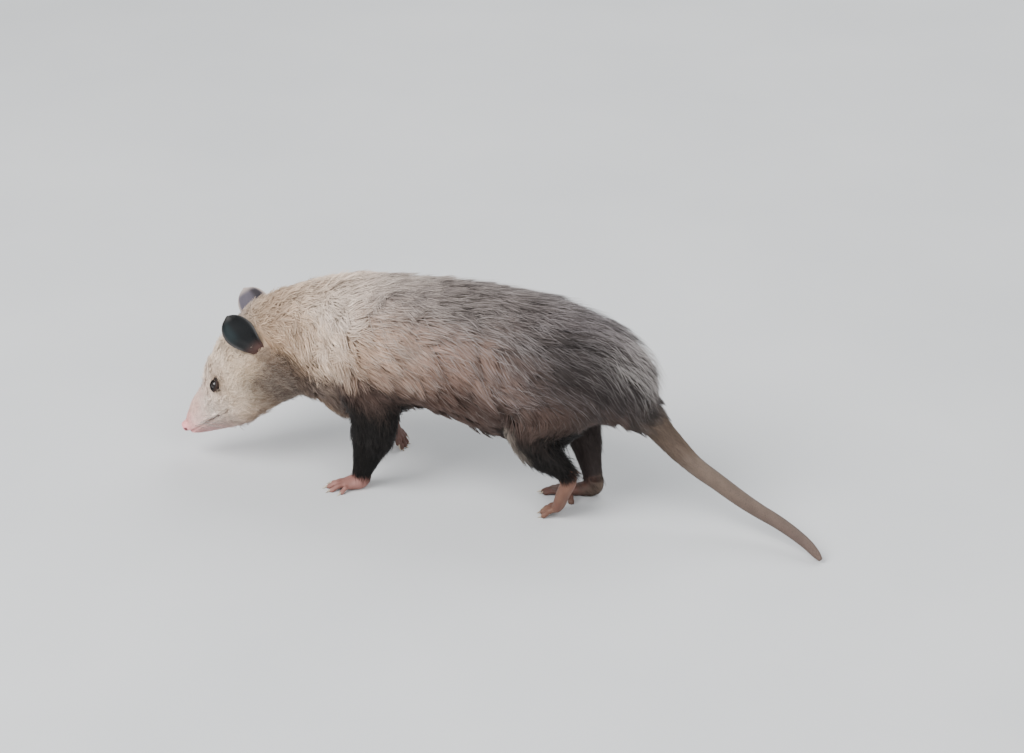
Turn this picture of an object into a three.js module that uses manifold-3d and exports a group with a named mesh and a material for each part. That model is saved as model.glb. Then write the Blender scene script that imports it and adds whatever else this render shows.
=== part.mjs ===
// A life-size opossum, walking, as a still display model. Millimetres, +Z up, the nose towards -X.
// Every body form is a sweep: rings round a curve, each ring with a half width, a top and a bottom radius.
import * as THREE from 'three';
import { mergeVertices } from 'three/addons/utils/BufferGeometryUtils.js';
import Module from 'manifold-3d';

const wasm = await Module();
wasm.setup();

// Driving sizes
const gap = 0.3; // clearance between two nodes that touch
const floorZ = 0; // what the feet and the tail tip rest on
const coreShare = 0.5; // how far the solid core reaches into the coat
const frameShift = new THREE.Vector3(-137.8, 2.9, 0); // the row's origin is under the middle of the animal

// The trunk from the back of the head to the root of the tail. Radii reach to the tips of the coat.
const trunkStations = [
  { at: [-100, -18, 100], half: 38, top: 44, bottom: 46, coat: 1, under: 1 },
  { at: [-78, -8, 118], half: 43, top: 52, bottom: 53, coat: 9, under: 7 },
  { at: [-46, 0, 126], half: 50, top: 60, bottom: 66, coat: 16, under: 13 },
  { at: [-14, 0, 130], half: 56, top: 63, bottom: 83, coat: 18, under: 18 },
  { at: [22, 0, 133], half: 60, top: 63, bottom: 71, coat: 19, under: 9 },
  { at: [62, 0, 138], half: 60, top: 60, bottom: 60, coat: 19, under: 3 },
  { at: [105, 0, 138], half: 60, top: 61, bottom: 68, coat: 19, under: 2 },
  { at: [145, 0, 134], half: 61, top: 64, bottom: 75, coat: 20, under: 3 },
  { at: [183, 0, 130], half: 59, top: 64, bottom: 66, coat: 21, under: 6 },
  { at: [220, 0, 127], half: 54, top: 57, bottom: 49, coat: 21, under: 10 },
  { at: [247, 0, 118], half: 42, top: 47, bottom: 36, coat: 20, under: 12 },
  { at: [266, 0, 105], half: 27, top: 28, bottom: 24, coat: 13, under: 9 },
  { at: [286, -1, 89.5], half: 13.5, top: 13.5, bottom: 13.5, coat: 2, under: 2 },
];
const trunkCuts = { nape: 0.75, chest: 3.5, waist: 6.5, rump: 12 }; // stations where nodes meet

// The locks of the coat, in rows round the trunk from the nape to the rump.
// Reach is how far down each side a row goes, in radians from the top.
const lockRows = [
  { at: 1.0, length: 38, width: 32, reach: 2.7 },
  { at: 1.75, length: 48, width: 37, reach: 3.14 },
  { at: 2.5, length: 54, width: 41, reach: 3.14 },
  { at: 3.2, length: 56, width: 42, reach: 3.14 },
  { at: 3.95, length: 58, width: 41, reach: 2.25 },
  { at: 4.75, length: 58, width: 41, reach: 2.1 },
  { at: 5.55, length: 58, width: 41, reach: 2.1 },
  { at: 6.3, length: 58, width: 41, reach: 2.1 },
  { at: 7.1, length: 58, width: 41, reach: 2.15 },
  { at: 7.9, length: 58, width: 41, reach: 2.2 },
  { at: 8.7, length: 54, width: 39, reach: 2.4 },
  { at: 9.45, length: 46, width: 34, reach: 2.9 },
  { at: 10.2, length: 36, width: 28, reach: 3.14 },
];
const lock = {
  thick: 6.4, // millimetres at its thickest
  sunk: 3.4, // how deep its root goes into the core
  rise: [0, 0.5, 0.86, 1], // share of the coat's loose half at the root, the middle, two thirds and the tip
  stops: [0, 0.36, 0.7, 1],
  widths: [0.62, 1, 0.74],
  fall: 0.34, // radians that a lock on the side slips down
  seed: 11,
};

const headStations = [
  { at: [-168.5, -42.4, 29], half: 3.8, top: 3.2, bottom: 3.6 },
  { at: [-165, -41.5, 30.8], half: 6.8, top: 6.6, bottom: 6.8 },
  { at: [-159, -40.2, 34.5], half: 9.2, top: 10.6, bottom: 10.2 },
  { at: [-149, -37.6, 42], half: 13.4, top: 15.6, bottom: 16 },
  { at: [-138.7, -34.7, 51.6], half: 19.5, top: 21.5, bottom: 23.5 },
  { at: [-126.8, -31, 63.4], half: 27, top: 28, bottom: 31 },
  { at: [-112.2, -25, 83.2], half: 33.5, top: 37.5, bottom: 39 },
  { at: [-98, -17, 100], half: 38, top: 46, bottom: 45.5 },
  { at: [-78, -8, 118], half: 43, top: 52, bottom: 53 },
  { at: [-62, -3.4, 122.5], half: 46.5, top: 56, bottom: 59 },
];

const tailStations = [
  { at: [281, -0.8, 94.6], half: 12.8, top: 12.8, bottom: 12.8 },
  { at: [305, -2.6, 72], half: 11.2, top: 11.2, bottom: 11.2 },
  { at: [322, -3.8, 58.6], half: 10.2, top: 10.2, bottom: 10.2 },
  { at: [342, -5, 46.9], half: 9.3, top: 9.3, bottom: 9.3 },
  { at: [363, -7, 35.2], half: 8.6, top: 8.6, bottom: 8.6 },
  { at: [381, -10, 27.6], half: 7.8, top: 7.8, bottom: 7.8 },
  { at: [398.5, -14, 22.2], half: 7.2, top: 7.2, bottom: 7.2 },
  { at: [414.5, -19.5, 17], half: 6.6, top: 6.6, bottom: 6.6 },
  { at: [430.5, -27, 11.6], half: 5.8, top: 5.8, bottom: 5.8 },
  { at: [440.5, -33, 6.2], half: 4.6, top: 4.6, bottom: 4.6 },
  { at: [446.5, -37, 2.2], half: 2.8, top: 2.6, bottom: 2.8 },
];
const tailCuts = [0, 2.4, 5, 7.4, 10];

// Legs, from inside the body down to the wrist or heel. Top faces forwards.
const legs = {
  foreleg_left: {
    stations: [
      { at: [8, -29, 128], half: 18, top: 24, bottom: 26 },
      { at: [20, -37, 104], half: 17.5, top: 25, bottom: 25 },
      { at: [27, -43, 84], half: 16, top: 24, bottom: 22 },
      { at: [26, -45, 62], half: 13.5, top: 21, bottom: 20.5 },
      { at: [20, -43.5, 38], half: 10.5, top: 15, bottom: 14.5 },
      { at: [14, -42.5, 19], half: 8, top: 10, bottom: 9.5 },
      { at: [12.5, -42, 12], half: 7.6, top: 9, bottom: 8.6 },
    ],
    joint: 2.3,
  },
  foreleg_right: {
    stations: [
      { at: [6, 29, 128], half: 18, top: 24, bottom: 26 },
      { at: [11, 37, 106], half: 17.5, top: 23, bottom: 24 },
      { at: [14, 43.5, 86], half: 15.5, top: 18.5, bottom: 18.5 },
      { at: [11, 46, 66], half: 12.5, top: 13.5, bottom: 14 },
      { at: [7.5, 45.5, 47], half: 9.5, top: 10.5, bottom: 10.5 },
      { at: [6, 44.6, 33], half: 7.6, top: 8.2, bottom: 8.2 },
      { at: [6.4, 44.4, 28], half: 7.2, top: 7.4, bottom: 7.4 },
    ],
    joint: 2.3,
  },
  hindleg_left: {
    stations: [
      { at: [222, -20, 132], half: 22, top: 34, bottom: 29 },
      { at: [200, -32, 110], half: 22, top: 38, bottom: 29 },
      { at: [180, -42, 91], half: 20, top: 27, bottom: 26 },
      { at: [182, -45, 76], half: 15.5, top: 20, bottom: 21 },
      { at: [193, -42, 61], half: 11.5, top: 14.5, bottom: 17 },
      { at: [207, -39, 51], half: 8.4, top: 9.4, bottom: 9.6 },
      { at: [211, -38, 46], half: 7.6, top: 8, bottom: 8 },
    ],
    joint: 2.4,
  },
  hindleg_right: {
    stations: [
      { at: [224, 20, 132], half: 22, top: 34, bottom: 28 },
      { at: [210, 32, 110], half: 22, top: 36, bottom: 26 },
      { at: [198, 39, 88], half: 19, top: 28, bottom: 23 },
      { at: [198, 36, 68], half: 14.5, top: 20, bottom: 18 },
      { at: [207, 27, 46], half: 11, top: 14, bottom: 13 },
      { at: [215, 19, 25.5], half: 8.4, top: 10, bottom: 9.4 },
      { at: [217.6, 16.2, 17], half: 7.8, top: 8.8, bottom: 8.8 },
    ],
    joint: 2.4,
  },
};

// Paws: a palm swept from the wrist, and toes that leave it. Claws are left off the hind thumb.
const paws = {
  forepaw_left: {
    leg: 'foreleg_left',
    palm: [
      { at: [12.3, -42.1, 11.4], half: 7.4, top: 8.8, bottom: 8.4 },
      { at: [10.5, -43, 7.4], half: 8.8, top: 6.6, bottom: 8.6 },
      { at: [4, -46.5, 5.4], half: 10, top: 4.8, bottom: 6.2 },
      { at: [-2, -50, 4.4], half: 8.8, top: 3.4, bottom: 4.8 },
    ],
    face: [-0.7, -0.45, 0.8],
    toes: [
      { root: [4, -41, 4], heading: 172, length: 14, thick: 2.5 },
      { root: [-1.5, -45, 4], heading: 192, length: 15.5, thick: 2.6 },
      { root: [-3.5, -49.5, 4], heading: 208, length: 15.5, thick: 2.7 },
      { root: [-1.5, -53.5, 4], heading: 224, length: 14, thick: 2.6 },
      { root: [4, -54, 4], heading: 248, length: 11.5, thick: 2.5 },
    ],
    claw: 3.0,
  },
  forepaw_right: {
    leg: 'foreleg_right',
    palm: [
      { at: [6.5, 44.4, 27.4], half: 7, top: 7.2, bottom: 7.2 },
      { at: [7.6, 44.4, 22.5], half: 7.8, top: 5.8, bottom: 6.6 },
      { at: [10.5, 44.4, 17], half: 8.4, top: 4.4, bottom: 4.6 },
      { at: [13, 44.4, 13], half: 7.6, top: 3.4, bottom: 3.4 },
    ],
    face: [-1, 0, -0.4],
    toes: [
      { root: [11, 38.5, 15], tip: [18, 34, 6], thick: 2.3 },
      { root: [13, 41, 13.5], tip: [20.5, 37.5, 0.4], thick: 2.4 },
      { root: [13.5, 44.5, 13], tip: [21.5, 44.5, 0.4], thick: 2.5 },
      { root: [13, 48, 13.5], tip: [20.5, 51.5, 0.4], thick: 2.4 },
      { root: [11, 50.5, 15], tip: [17.5, 55, 6.5], thick: 2.3 },
    ],
    claw: 3.0,
  },
  hindfoot_left: {
    leg: 'hindleg_left',
    palm: [
      { at: [211.3, -37.9, 45.4], half: 7.4, top: 7.8, bottom: 7.8 },
      { at: [211.5, -37.6, 38], half: 7.8, top: 6.4, bottom: 7.4 },
      { at: [206.5, -36.2, 25], half: 8.6, top: 5.8, bottom: 6 },
      { at: [202, -33.4, 13], half: 9.4, top: 5, bottom: 5.4 },
      { at: [199.5, -32.2, 8], half: 8.2, top: 4, bottom: 4.2 },
    ],
    face: [-1, 0, 0.4],
    toes: [
      { root: [200.5, -39, 9], heading: 196, length: 13, thick: 2.7 },
      { root: [199, -34.5, 8], heading: 184, length: 14.5, thick: 2.9 },
      { root: [199, -29.5, 8], heading: 173, length: 14, thick: 2.8 },
      { root: [200.5, -25, 9], heading: 161, length: 12.5, thick: 2.6 },
      { root: [205.5, -27.5, 17], tip: [201, -18.5, 8.5], thick: 3.2, noClaw: true },
    ],
    claw: 2.8,
  },
  hindfoot_right: {
    leg: 'hindleg_right',
    palm: [
      { at: [217.8, 16, 16.4], half: 7.6, top: 8.6, bottom: 8.6 },
      { at: [217, 15.6, 9.6], half: 8.2, top: 7.6, bottom: 9.2 },
      { at: [206, 12.3, 6.4], half: 8.8, top: 5.2, bottom: 7 },
      { at: [195, 9, 5], half: 9.8, top: 4.4, bottom: 5.4 },
      { at: [188, 7, 4.4], half: 8.6, top: 3.4, bottom: 4.8 },
    ],
    face: [-0.7, 0, 0.7],
    toes: [
      { root: [189, 1, 4], heading: 181, length: 14.5, thick: 2.7 },
      { root: [188, 5.5, 4], heading: 188, length: 16.5, thick: 2.9 },
      { root: [188, 10, 4], heading: 195, length: 15.5, thick: 2.8 },
      { root: [190, 15, 4], heading: 205, length: 13.5, thick: 2.6 },
      { root: [199, 3, 4.2], heading: -62, length: 15, thick: 3.2, noClaw: true },
    ],
    claw: 2.8,
  },
};

const eyeBall = { radius: 5.4, along: 5.5, side: 0.51, sunk: 3 }; // along and side: place on the head's rings
const lid = { ring: 5.3, tube: 1.25 };
const mouth = { corner: 57, rise: -0.12, slit: 0.5, lift: -4.3 }; // millimetres from the nose, and the line's slope
const nostril = { radius: 1.7, apart: 3.3 };
const ear = { width: 31, cup: 7, wall: 1.9, rimWall: 1.0, rows: 8, columns: 8 };
const ears = {
  ear_left: { root: [-85, -49.5, 127], up: [-0.64, -0.2, 0.73], open: [0.1, -0.95, 0.25], length: 41 },
  ear_right: { root: [-107, 14, 121], up: [-0.62, 0.36, 0.68], open: [-0.45, 0.88, 0], length: 39 },
};

// Colours, roughness and metalness, from the photo
const finishes = {
  coatPale: [0xcbb9a2, 0.9, 0],
  coatGrey: [0x8d837c, 0.9, 0],
  faceFur: [0xe3d6c6, 0.88, 0],
  darkFur: [0x2b2422, 0.85, 0],
  pinkSkin: [0xcf9d8f, 0.6, 0],
  earSkin: [0x1f2326, 0.55, 0],
  tailSkin: [0x8f7565, 0.65, 0],
  eyeBlack: [0x0c0a0a, 0.08, 0],
};
const materials = Object.fromEntries(
  Object.entries(finishes).map(([name, [color, roughness, metalness]]) => [
    name,
    new THREE.MeshStandardMaterial({ name, color, roughness, metalness }),
  ]),
);

// Curve and ring tools
function vector(list) {
  return new THREE.Vector3(...list);
}

function path(stations, face = [0, 0, 1]) {
  const spine = new THREE.CatmullRomCurve3(stations.map((s) => vector(s.at)), false, 'centripetal');
  const sizes = new THREE.CatmullRomCurve3(
    stations.map((s) => new THREE.Vector3(s.half, s.top, s.bottom)),
    false,
    'catmullrom',
  );
  const coats = new THREE.CatmullRomCurve3(
    stations.map((s) => new THREE.Vector3(s.coat ?? 0, s.under ?? 0, 0)),
    false,
    'catmullrom',
  );
  const last = stations.length - 1;
  const hint = vector(face);

  function frame(u) {
    const t = THREE.MathUtils.clamp(u / last, 0, 1);
    const along = spine.getTangent(t);
    const up = hint.clone().addScaledVector(along, -hint.dot(along)).normalize();
    const side = new THREE.Vector3().crossVectors(along, up);
    const centre = spine.getPoint(t);
    return { centre, along, up, side, size: sizes.getPoint(t), coat: coats.getPoint(t) };
  }

  // A point of the surface: angle 0 is the top, and grow moves it out by a share of the coat and by millimetres
  function point(u, angle, share = 1, grow = 0) {
    const f = frame(u);
    const high = Math.cos(angle);
    const wide = Math.sin(angle);
    const depth = THREE.MathUtils.lerp(f.coat.y, f.coat.x, (1 + high) / 2);
    const cut = depth * (share - 1) + grow;
    const radius = (high > 0 ? f.size.y : f.size.z) + cut;
    return f.centre
      .clone()
      .addScaledVector(f.up, high * radius)
      .addScaledVector(f.side, wide * (f.size.x + cut));
  }
  return { frame, point, last };
}

// A closed body between two stations of a path. Inset moves only the first ring on, to leave a gap there.
function sweep(way, range) {
  const { from = 0, to = way.last, sides = 16, steps = 12, share = 1, grow = 0, inset = 0 } = range;
  const positions = [];
  const index = [];
  for (let i = 0; i <= steps; i++) {
    const u = THREE.MathUtils.lerp(from, to, i / steps) + (i === 0 ? inset : 0);
    for (let j = 0; j < sides; j++) {
      positions.push(...way.point(u, (2 * Math.PI * j) / sides, share, grow).toArray());
    }
  }
  for (let i = 0; i < steps; i++) {
    for (let j = 0; j < sides; j++) {
      const a = i * sides + j;
      const b = i * sides + ((j + 1) % sides);
      index.push(a, b, a + sides, b, b + sides, a + sides);
    }
  }
  const end = steps * sides;
  for (let j = 1; j < sides - 1; j++) {
    index.push(0, j + 1, j);
    index.push(end, end + j, end + j + 1);
  }
  return closedGeometry(positions, index);
}

function closedGeometry(positions, index) {
  const geometry = new THREE.BufferGeometry();
  geometry.setAttribute('position', new THREE.Float32BufferAttribute(positions, 3));
  geometry.setIndex(index);
  return geometry;
}

// One flat lock, pointed at the tip, whose middle line follows the surface of a way and lifts off it
function lockGeometry(way, { u, angle, length, width, twist, lift }, grow = 0) {
  const reach = way.point(u, angle).distanceTo(way.point(u + 0.25, angle)) / 0.25;
  const centres = lock.stops.map((s, i) => {
    const alongU = Math.min(u + (length * s) / reach, way.last - 0.06);
    const share = coreShare + (1 - coreShare) * lock.rise[i] * (i === 3 ? lift : 1);
    const around = angle + Math.sign(angle) * lock.fall * Math.sin(Math.abs(angle)) * s * s + twist * s;
    const out = way.point(alongU, around, share, i === 0 ? -lock.sunk : 0);
    const normal = way.point(alongU, around, share, 1).sub(way.point(alongU, around, share, 0)).normalize();
    return { out, normal };
  });
  const positions = [];
  for (let i = 0; i < 3; i++) {
    const along = centres[i + 1].out.clone().sub(centres[Math.max(i - 1, 0)].out).normalize();
    const side = new THREE.Vector3().crossVectors(along, centres[i].normal).normalize();
    const up = new THREE.Vector3().crossVectors(side, along);
    const half = (width * lock.widths[i]) / 2 + 10 * grow; // an edge this sharp moves out far
    const thick = (lock.thick * (1 - 0.22 * i)) / 2 + 1.4 * grow;
    const corner = (w, h) => centres[i].out.clone().addScaledVector(side, w).addScaledVector(up, h).toArray();
    positions.push(...corner(-half, -thick), ...corner(0, thick), ...corner(half, -thick));
  }
  const onward = centres[3].out.clone().sub(centres[2].out).normalize();
  positions.push(...centres[3].out.clone().addScaledVector(onward, 10 * grow).toArray());
  const index = [0, 1, 2];
  for (let i = 0; i < 2; i++) {
    for (let j = 0; j < 3; j++) {
      const a = i * 3 + j;
      const b = i * 3 + ((j + 1) % 3);
      index.push(a, a + 3, b, b, a + 3, b + 3);
    }
  }
  for (let j = 0; j < 3; j++) index.push(6 + j, 9, 6 + ((j + 1) % 3));
  return closedGeometry(positions, index);
}

// Solid tools
function solid(geometry) {
  const plain = geometry.clone();
  plain.deleteAttribute('normal');
  plain.deleteAttribute('uv');
  const merged = mergeVertices(plain, 1e-4);
  const vertProperties = new Float32Array(merged.attributes.position.array);
  const triVerts = new Uint32Array(merged.index.array);
  const made = new wasm.Manifold(new wasm.Mesh({ numProp: 3, vertProperties, triVerts }));
  if (made.volume() > 0) return made;
  for (let i = 0; i < triVerts.length; i += 3) {
    [triVerts[i + 1], triVerts[i + 2]] = [triVerts[i + 2], triVerts[i + 1]];
  }
  return new wasm.Manifold(new wasm.Mesh({ numProp: 3, vertProperties, triVerts }));
}

function unite(solids) {
  return solids.reduce((sum, s) => sum.add(s));
}

function largest(made) {
  return made.decompose().reduce((best, s) => (s.volume() > best.volume() ? s : best));
}

function geometryOf(made) {
  const mesh = made.getMesh();
  return closedGeometry(Array.from(mesh.vertProperties), Array.from(mesh.triVerts));
}

function ball(centre, radius, width = 12, height = 8) {
  return solid(new THREE.SphereGeometry(radius, width, height).translate(...centre.toArray()));
}

// A box with one face through a point, reaching away from it along a direction
function halfSpace(point, direction, reach = 400) {
  const turn = new THREE.Quaternion().setFromUnitVectors(new THREE.Vector3(0, 0, 1), direction);
  const box = new THREE.BoxGeometry(reach, reach, reach).translate(0, 0, reach / 2);
  return solid(box.applyQuaternion(turn).translate(...point.toArray()));
}

// A repeatable draw between -1 and 1
function drawer(seed) {
  let state = seed;
  return () => {
    state = (state * 16807) % 2147483647;
    return (state / 2147483647) * 2 - 1;
  };
}

const underFloor = halfSpace(new THREE.Vector3(0, 0, floorZ), new THREE.Vector3(0, 0, -1), 1600);

const group = new THREE.Group();
group.position.copy(frameShift);

function addNode(name, made, finish) {
  const mesh = new THREE.Mesh(geometryOf(largest(made)), materials[finish]);
  mesh.name = name;
  group.add(mesh);
}

// Trunk
const trunk = path(trunkStations);
const trunkNodes = [
  { name: 'neck', from: trunkCuts.nape, to: trunkCuts.chest, steps: 5, finish: 'coatPale' },
  { name: 'torso_front', from: trunkCuts.chest, to: trunkCuts.waist, steps: 8, finish: 'coatPale' },
  { name: 'torso_rear', from: trunkCuts.waist, to: trunkCuts.rump, steps: 12, finish: 'coatGrey' },
];
const stationGap = gap / 30; // the same clearance counted in stations
const trunkSides = 20;
const trunkCores = trunkNodes.map((node) =>
  solid(sweep(trunk, { ...node, sides: trunkSides, share: coreShare, grow: gap })),
);
const trunkWhole = unite(trunkCores);

// Head
const head = path(headStations);
const headWhole = solid(sweep(head, { sides: 22, steps: 18 }));
const napeFrame = trunk.frame(trunkCuts.nape);
const behindNape = halfSpace(napeFrame.centre.addScaledVector(napeFrame.along, -gap), napeFrame.along);
const noseAt = vector(headStations[0].at);
const crownAt = vector(headStations[7].at);
const headAlong = crownAt.clone().sub(noseAt).normalize();
const headUp = new THREE.Vector3(0, 0, 1).addScaledVector(headAlong, -headAlong.z).normalize();
const headSide = new THREE.Vector3().crossVectors(headAlong, headUp);

function onHead(along, side, up) {
  return noseAt
    .clone()
    .addScaledVector(headAlong, along)
    .addScaledVector(headSide, side)
    .addScaledVector(headUp, up);
}

function eyePlace(sign) {
  const angle = sign * Math.PI * 0.5 * eyeBall.side;
  const onSkin = head.point(eyeBall.along, angle);
  const outward = onSkin.clone().sub(head.frame(eyeBall.along).centre).normalize();
  return { centre: onSkin.clone().addScaledVector(outward, -eyeBall.sunk), outward };
}

function lidRing(place) {
  const turn = new THREE.Quaternion().setFromUnitVectors(new THREE.Vector3(0, 0, 1), place.outward);
  const ring = new THREE.TorusGeometry(lid.ring, lid.tube, 5, 11).applyQuaternion(turn);
  const at = place.centre.clone().addScaledVector(place.outward, eyeBall.radius * 0.38);
  return solid(ring.translate(...at.toArray()));
}

const eyePlaces = { eye_left: eyePlace(1), eye_right: eyePlace(-1) };
const noseBulbs = [-1, 1].map((sign) => ball(onHead(1.2, sign * 2.5, 0.4), 3.9, 10, 6));
let skull = unite([headWhole, ...noseBulbs, ...Object.values(eyePlaces).map(lidRing)]);
for (const sign of [-1, 1]) {
  skull = skull.subtract(ball(onHead(-1.2, sign * nostril.apart, 1.2), nostril.radius, 8, 6));
  skull = skull.subtract(ball(onHead(0.6, sign * (nostril.apart + 1.7), 1.4), nostril.radius * 0.75, 8, 6));
}
for (const [name, place] of Object.entries(eyePlaces)) {
  skull = skull.subtract(ball(place.centre, eyeBall.radius + gap, 14, 9));
  addNode(name, ball(place.centre, eyeBall.radius, 12, 8), 'eyeBlack');
}

// The lower jaw: what lies under the line of the mouth and before its corner
const mouthAlong = headAlong.clone().addScaledVector(headUp, mouth.rise).normalize();
const mouthDown = new THREE.Vector3().crossVectors(headSide, mouthAlong).normalize();
if (mouthDown.dot(headUp) > 0) mouthDown.negate();
const mouthAt = onHead(0, 0, mouth.lift);
const underMouth = halfSpace(mouthAt, mouthDown);
const cornerAt = mouthAt.clone().addScaledVector(mouthAlong, mouth.corner);
const beforeCorner = halfSpace(cornerAt, mouthAlong.clone().negate());
const underSlit = halfSpace(mouthAt.clone().addScaledVector(mouthDown, mouth.slit), mouthDown);
const slitEnd = cornerAt.clone().addScaledVector(mouthAlong, -gap);
const beforeSlit = halfSpace(slitEnd, mouthAlong.clone().negate());
const jawRoom = underMouth.intersect(beforeCorner);
addNode('lower_jaw', skull.intersect(underSlit.intersect(beforeSlit)), 'faceFur');
skull = skull.subtract(jawRoom).subtract(behindNape);

// Half width of the ear by height: narrow at the root, round at the top
function earOutline(v) {
  const widest = 0.6;
  if (v < widest) return THREE.MathUtils.lerp(0.46, 1, THREE.MathUtils.smoothstep(v, 0, widest));
  return Math.sqrt(Math.max(1 - ((v - widest) / (1 - widest)) ** 2, 0.05));
}

// Ears: a cupped leaf with a thicker root, its two faces split alike
function earSolid({ root, up, open, length }) {
  const tall = vector(up).normalize();
  const facing = vector(open);
  facing.addScaledVector(tall, -facing.dot(tall)).normalize();
  const across = new THREE.Vector3().crossVectors(tall, facing);
  const base = vector(root);
  const { rows, columns } = ear;
  const faces = [[], []];
  for (let i = 0; i <= rows; i++) {
    const v = Math.sin((Math.PI / 2) * (i / rows));
    const half = (ear.width / 2) * earOutline(v);
    for (let j = 0; j <= columns; j++) {
      const w = (2 * j) / columns - 1;
      const bend = ear.cup * (1 - w * w) * (0.55 + 0.45 * Math.sin(Math.PI * v));
      const dome = length * v;
      const thin = THREE.MathUtils.lerp(ear.wall, ear.rimWall, Math.max(v, Math.abs(w)));
      const wall = thin * (1 + 0.8 * (1 - v));
      const middle = base
        .clone()
        .addScaledVector(tall, dome)
        .addScaledVector(across, w * half * (1 - 0.12 * (1 - v)))
        .addScaledVector(facing, -bend + 3.2 * Math.sin(Math.PI * v) - 3.5 * v * v);
      faces[0].push(middle.clone().addScaledVector(facing, wall / 2));
      faces[1].push(middle.clone().addScaledVector(facing, -wall / 2));
    }
  }
  const positions = faces.flat().flatMap((p) => p.toArray());
  const count = (rows + 1) * (columns + 1);
  const id = (i, j, face) => face * count + i * (columns + 1) + j;
  const index = [];
  const quad = (a, b, c, d) => index.push(a, b, c, a, c, d);
  for (let i = 0; i < rows; i++) {
    for (let j = 0; j < columns; j++) {
      quad(id(i, j, 0), id(i, j + 1, 0), id(i + 1, j + 1, 0), id(i + 1, j, 0));
      index.push(id(i, j, 1), id(i + 1, j + 1, 1), id(i, j + 1, 1));
      index.push(id(i, j, 1), id(i + 1, j, 1), id(i + 1, j + 1, 1));
    }
  }
  for (let j = 0; j < columns; j++) {
    quad(id(0, j, 1), id(0, j + 1, 1), id(0, j + 1, 0), id(0, j, 0));
    quad(id(rows, j, 0), id(rows, j + 1, 0), id(rows, j + 1, 1), id(rows, j, 1));
  }
  for (let i = 0; i < rows; i++) {
    quad(id(i, 0, 0), id(i + 1, 0, 0), id(i + 1, 0, 1), id(i, 0, 1));
    quad(id(i, columns, 1), id(i + 1, columns, 1), id(i + 1, columns, 0), id(i, columns, 0));
  }
  return solid(closedGeometry(positions, index));
}
const headClear = solid(sweep(head, { sides: 22, steps: 18, grow: gap }));
for (const [name, place] of Object.entries(ears)) {
  addNode(name, earSolid(place).subtract(headClear).subtract(trunkWhole), 'earSkin');
}
addNode('head', skull, 'faceFur');

// Legs
const legSides = 13;
const legParts = Object.entries(legs).map(([name, leg]) => {
  const way = path(leg.stations, [-1, 0, 0]);
  const shape = (range, grow) => solid(sweep(way, { ...range, sides: legSides, grow }));
  const upper = { to: leg.joint, steps: 5 };
  const lower = { from: leg.joint, steps: 7 };
  return {
    name,
    way,
    joint: leg.joint,
    upper: shape(upper, 0),
    lower: shape(lower, 0),
    clears: [shape(upper, gap), shape(lower, gap)],
  };
});

// How far inside a leg a point lies: under 1 is inside
function insideLeg(point) {
  let least = Infinity;
  for (const { way } of legParts) {
    for (let u = 0; u <= way.last; u += 0.25) {
      const f = way.frame(u);
      const off = point.clone().sub(f.centre);
      if (Math.abs(off.dot(f.along)) > 6) continue;
      const high = off.dot(f.up);
      const wide = off.dot(f.side);
      least = Math.min(least, Math.hypot(wide / f.size.x, high / (high > 0 ? f.size.y : f.size.z)));
    }
  }
  return least;
}

// The coat: rows of locks, each row turned half a lock from the one before it
const draw = drawer(lock.seed);
const locks = lockRows.flatMap((row, k) => {
  const f = trunk.frame(row.at);
  const round = Math.PI * (f.size.x + (f.size.y + f.size.z) / 2); // about the length of the ring
  const count = Math.round(round / row.width);
  const step = (2 * Math.PI) / count;
  const found = [];
  for (let j = 0; j < count; j++) {
    let angle = (j + (k % 2) / 2) * step + draw() * step * 0.12;
    if (angle > Math.PI) angle -= 2 * Math.PI;
    const one = {
      u: row.at + draw() * 0.12,
      angle,
      length: row.length * (1 + 0.16 * draw()),
      width: row.width * (1.12 + 0.1 * draw()),
      twist: 0.07 * draw(),
      lift: 1 + 0.14 * draw(),
    };
    if (Math.abs(angle) > row.reach) continue;
    const checks = [0, 0.5].map((s) => trunk.point(one.u + (s * one.length) / 36, one.angle, 0.5 + 0.4 * s));
    if (checks.some((p) => insideLeg(p) < 1)) continue;
    found.push(one);
  }
  return found;
});

trunkNodes.forEach((node, i) => {
  const inset = i === 0 ? 0 : stationGap;
  const core = solid(sweep(trunk, { ...node, inset, sides: trunkSides, share: coreShare }));
  const own = locks.filter((one) => one.u >= node.from && one.u < node.to);
  const before = locks.filter((one) => one.u < node.from && one.u > node.from - 2);
  const start = trunk.frame(node.from);
  let coat = unite(own.map((one) => solid(lockGeometry(trunk, one))));
  coat = coat.subtract(halfSpace(start.centre.addScaledVector(start.along, gap), start.along.clone().negate()));
  if (i < trunkNodes.length - 1) coat = coat.subtract(trunkCores[i + 1]);
  if (before.length) coat = coat.subtract(unite(before.map((one) => solid(lockGeometry(trunk, one, gap)))));
  for (const leg of legParts) coat = coat.subtract(leg.clears[0]).subtract(leg.clears[1]);
  addNode(node.name, core.add(coat), node.finish);
});

const aboveWrist = {}; // everything on the leg's side of the cut where a paw begins
for (const { name, way, joint, upper: whole, lower: rest } of legParts) {
  const bend = way.frame(joint);
  const aboveBend = halfSpace(bend.centre.addScaledVector(bend.along, gap), bend.along.clone().negate());
  const upper = whole.subtract(trunkWhole);
  const lower = rest.subtract(aboveBend).subtract(trunkWhole);
  const wrist = way.frame(way.last);
  const behindWrist = wrist.centre.clone().addScaledVector(wrist.along, gap);
  aboveWrist[name] = halfSpace(behindWrist, wrist.along.clone().negate());
  if (name.includes('fore')) {
    addNode(`${name}_upper_arm`, upper, 'coatPale');
    addNode(`${name}_forearm`, lower, 'darkFur');
  } else {
    addNode(`${name}_thigh`, upper, 'coatGrey');
    addNode(`${name}_shank`, lower, 'darkFur');
  }
}

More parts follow.
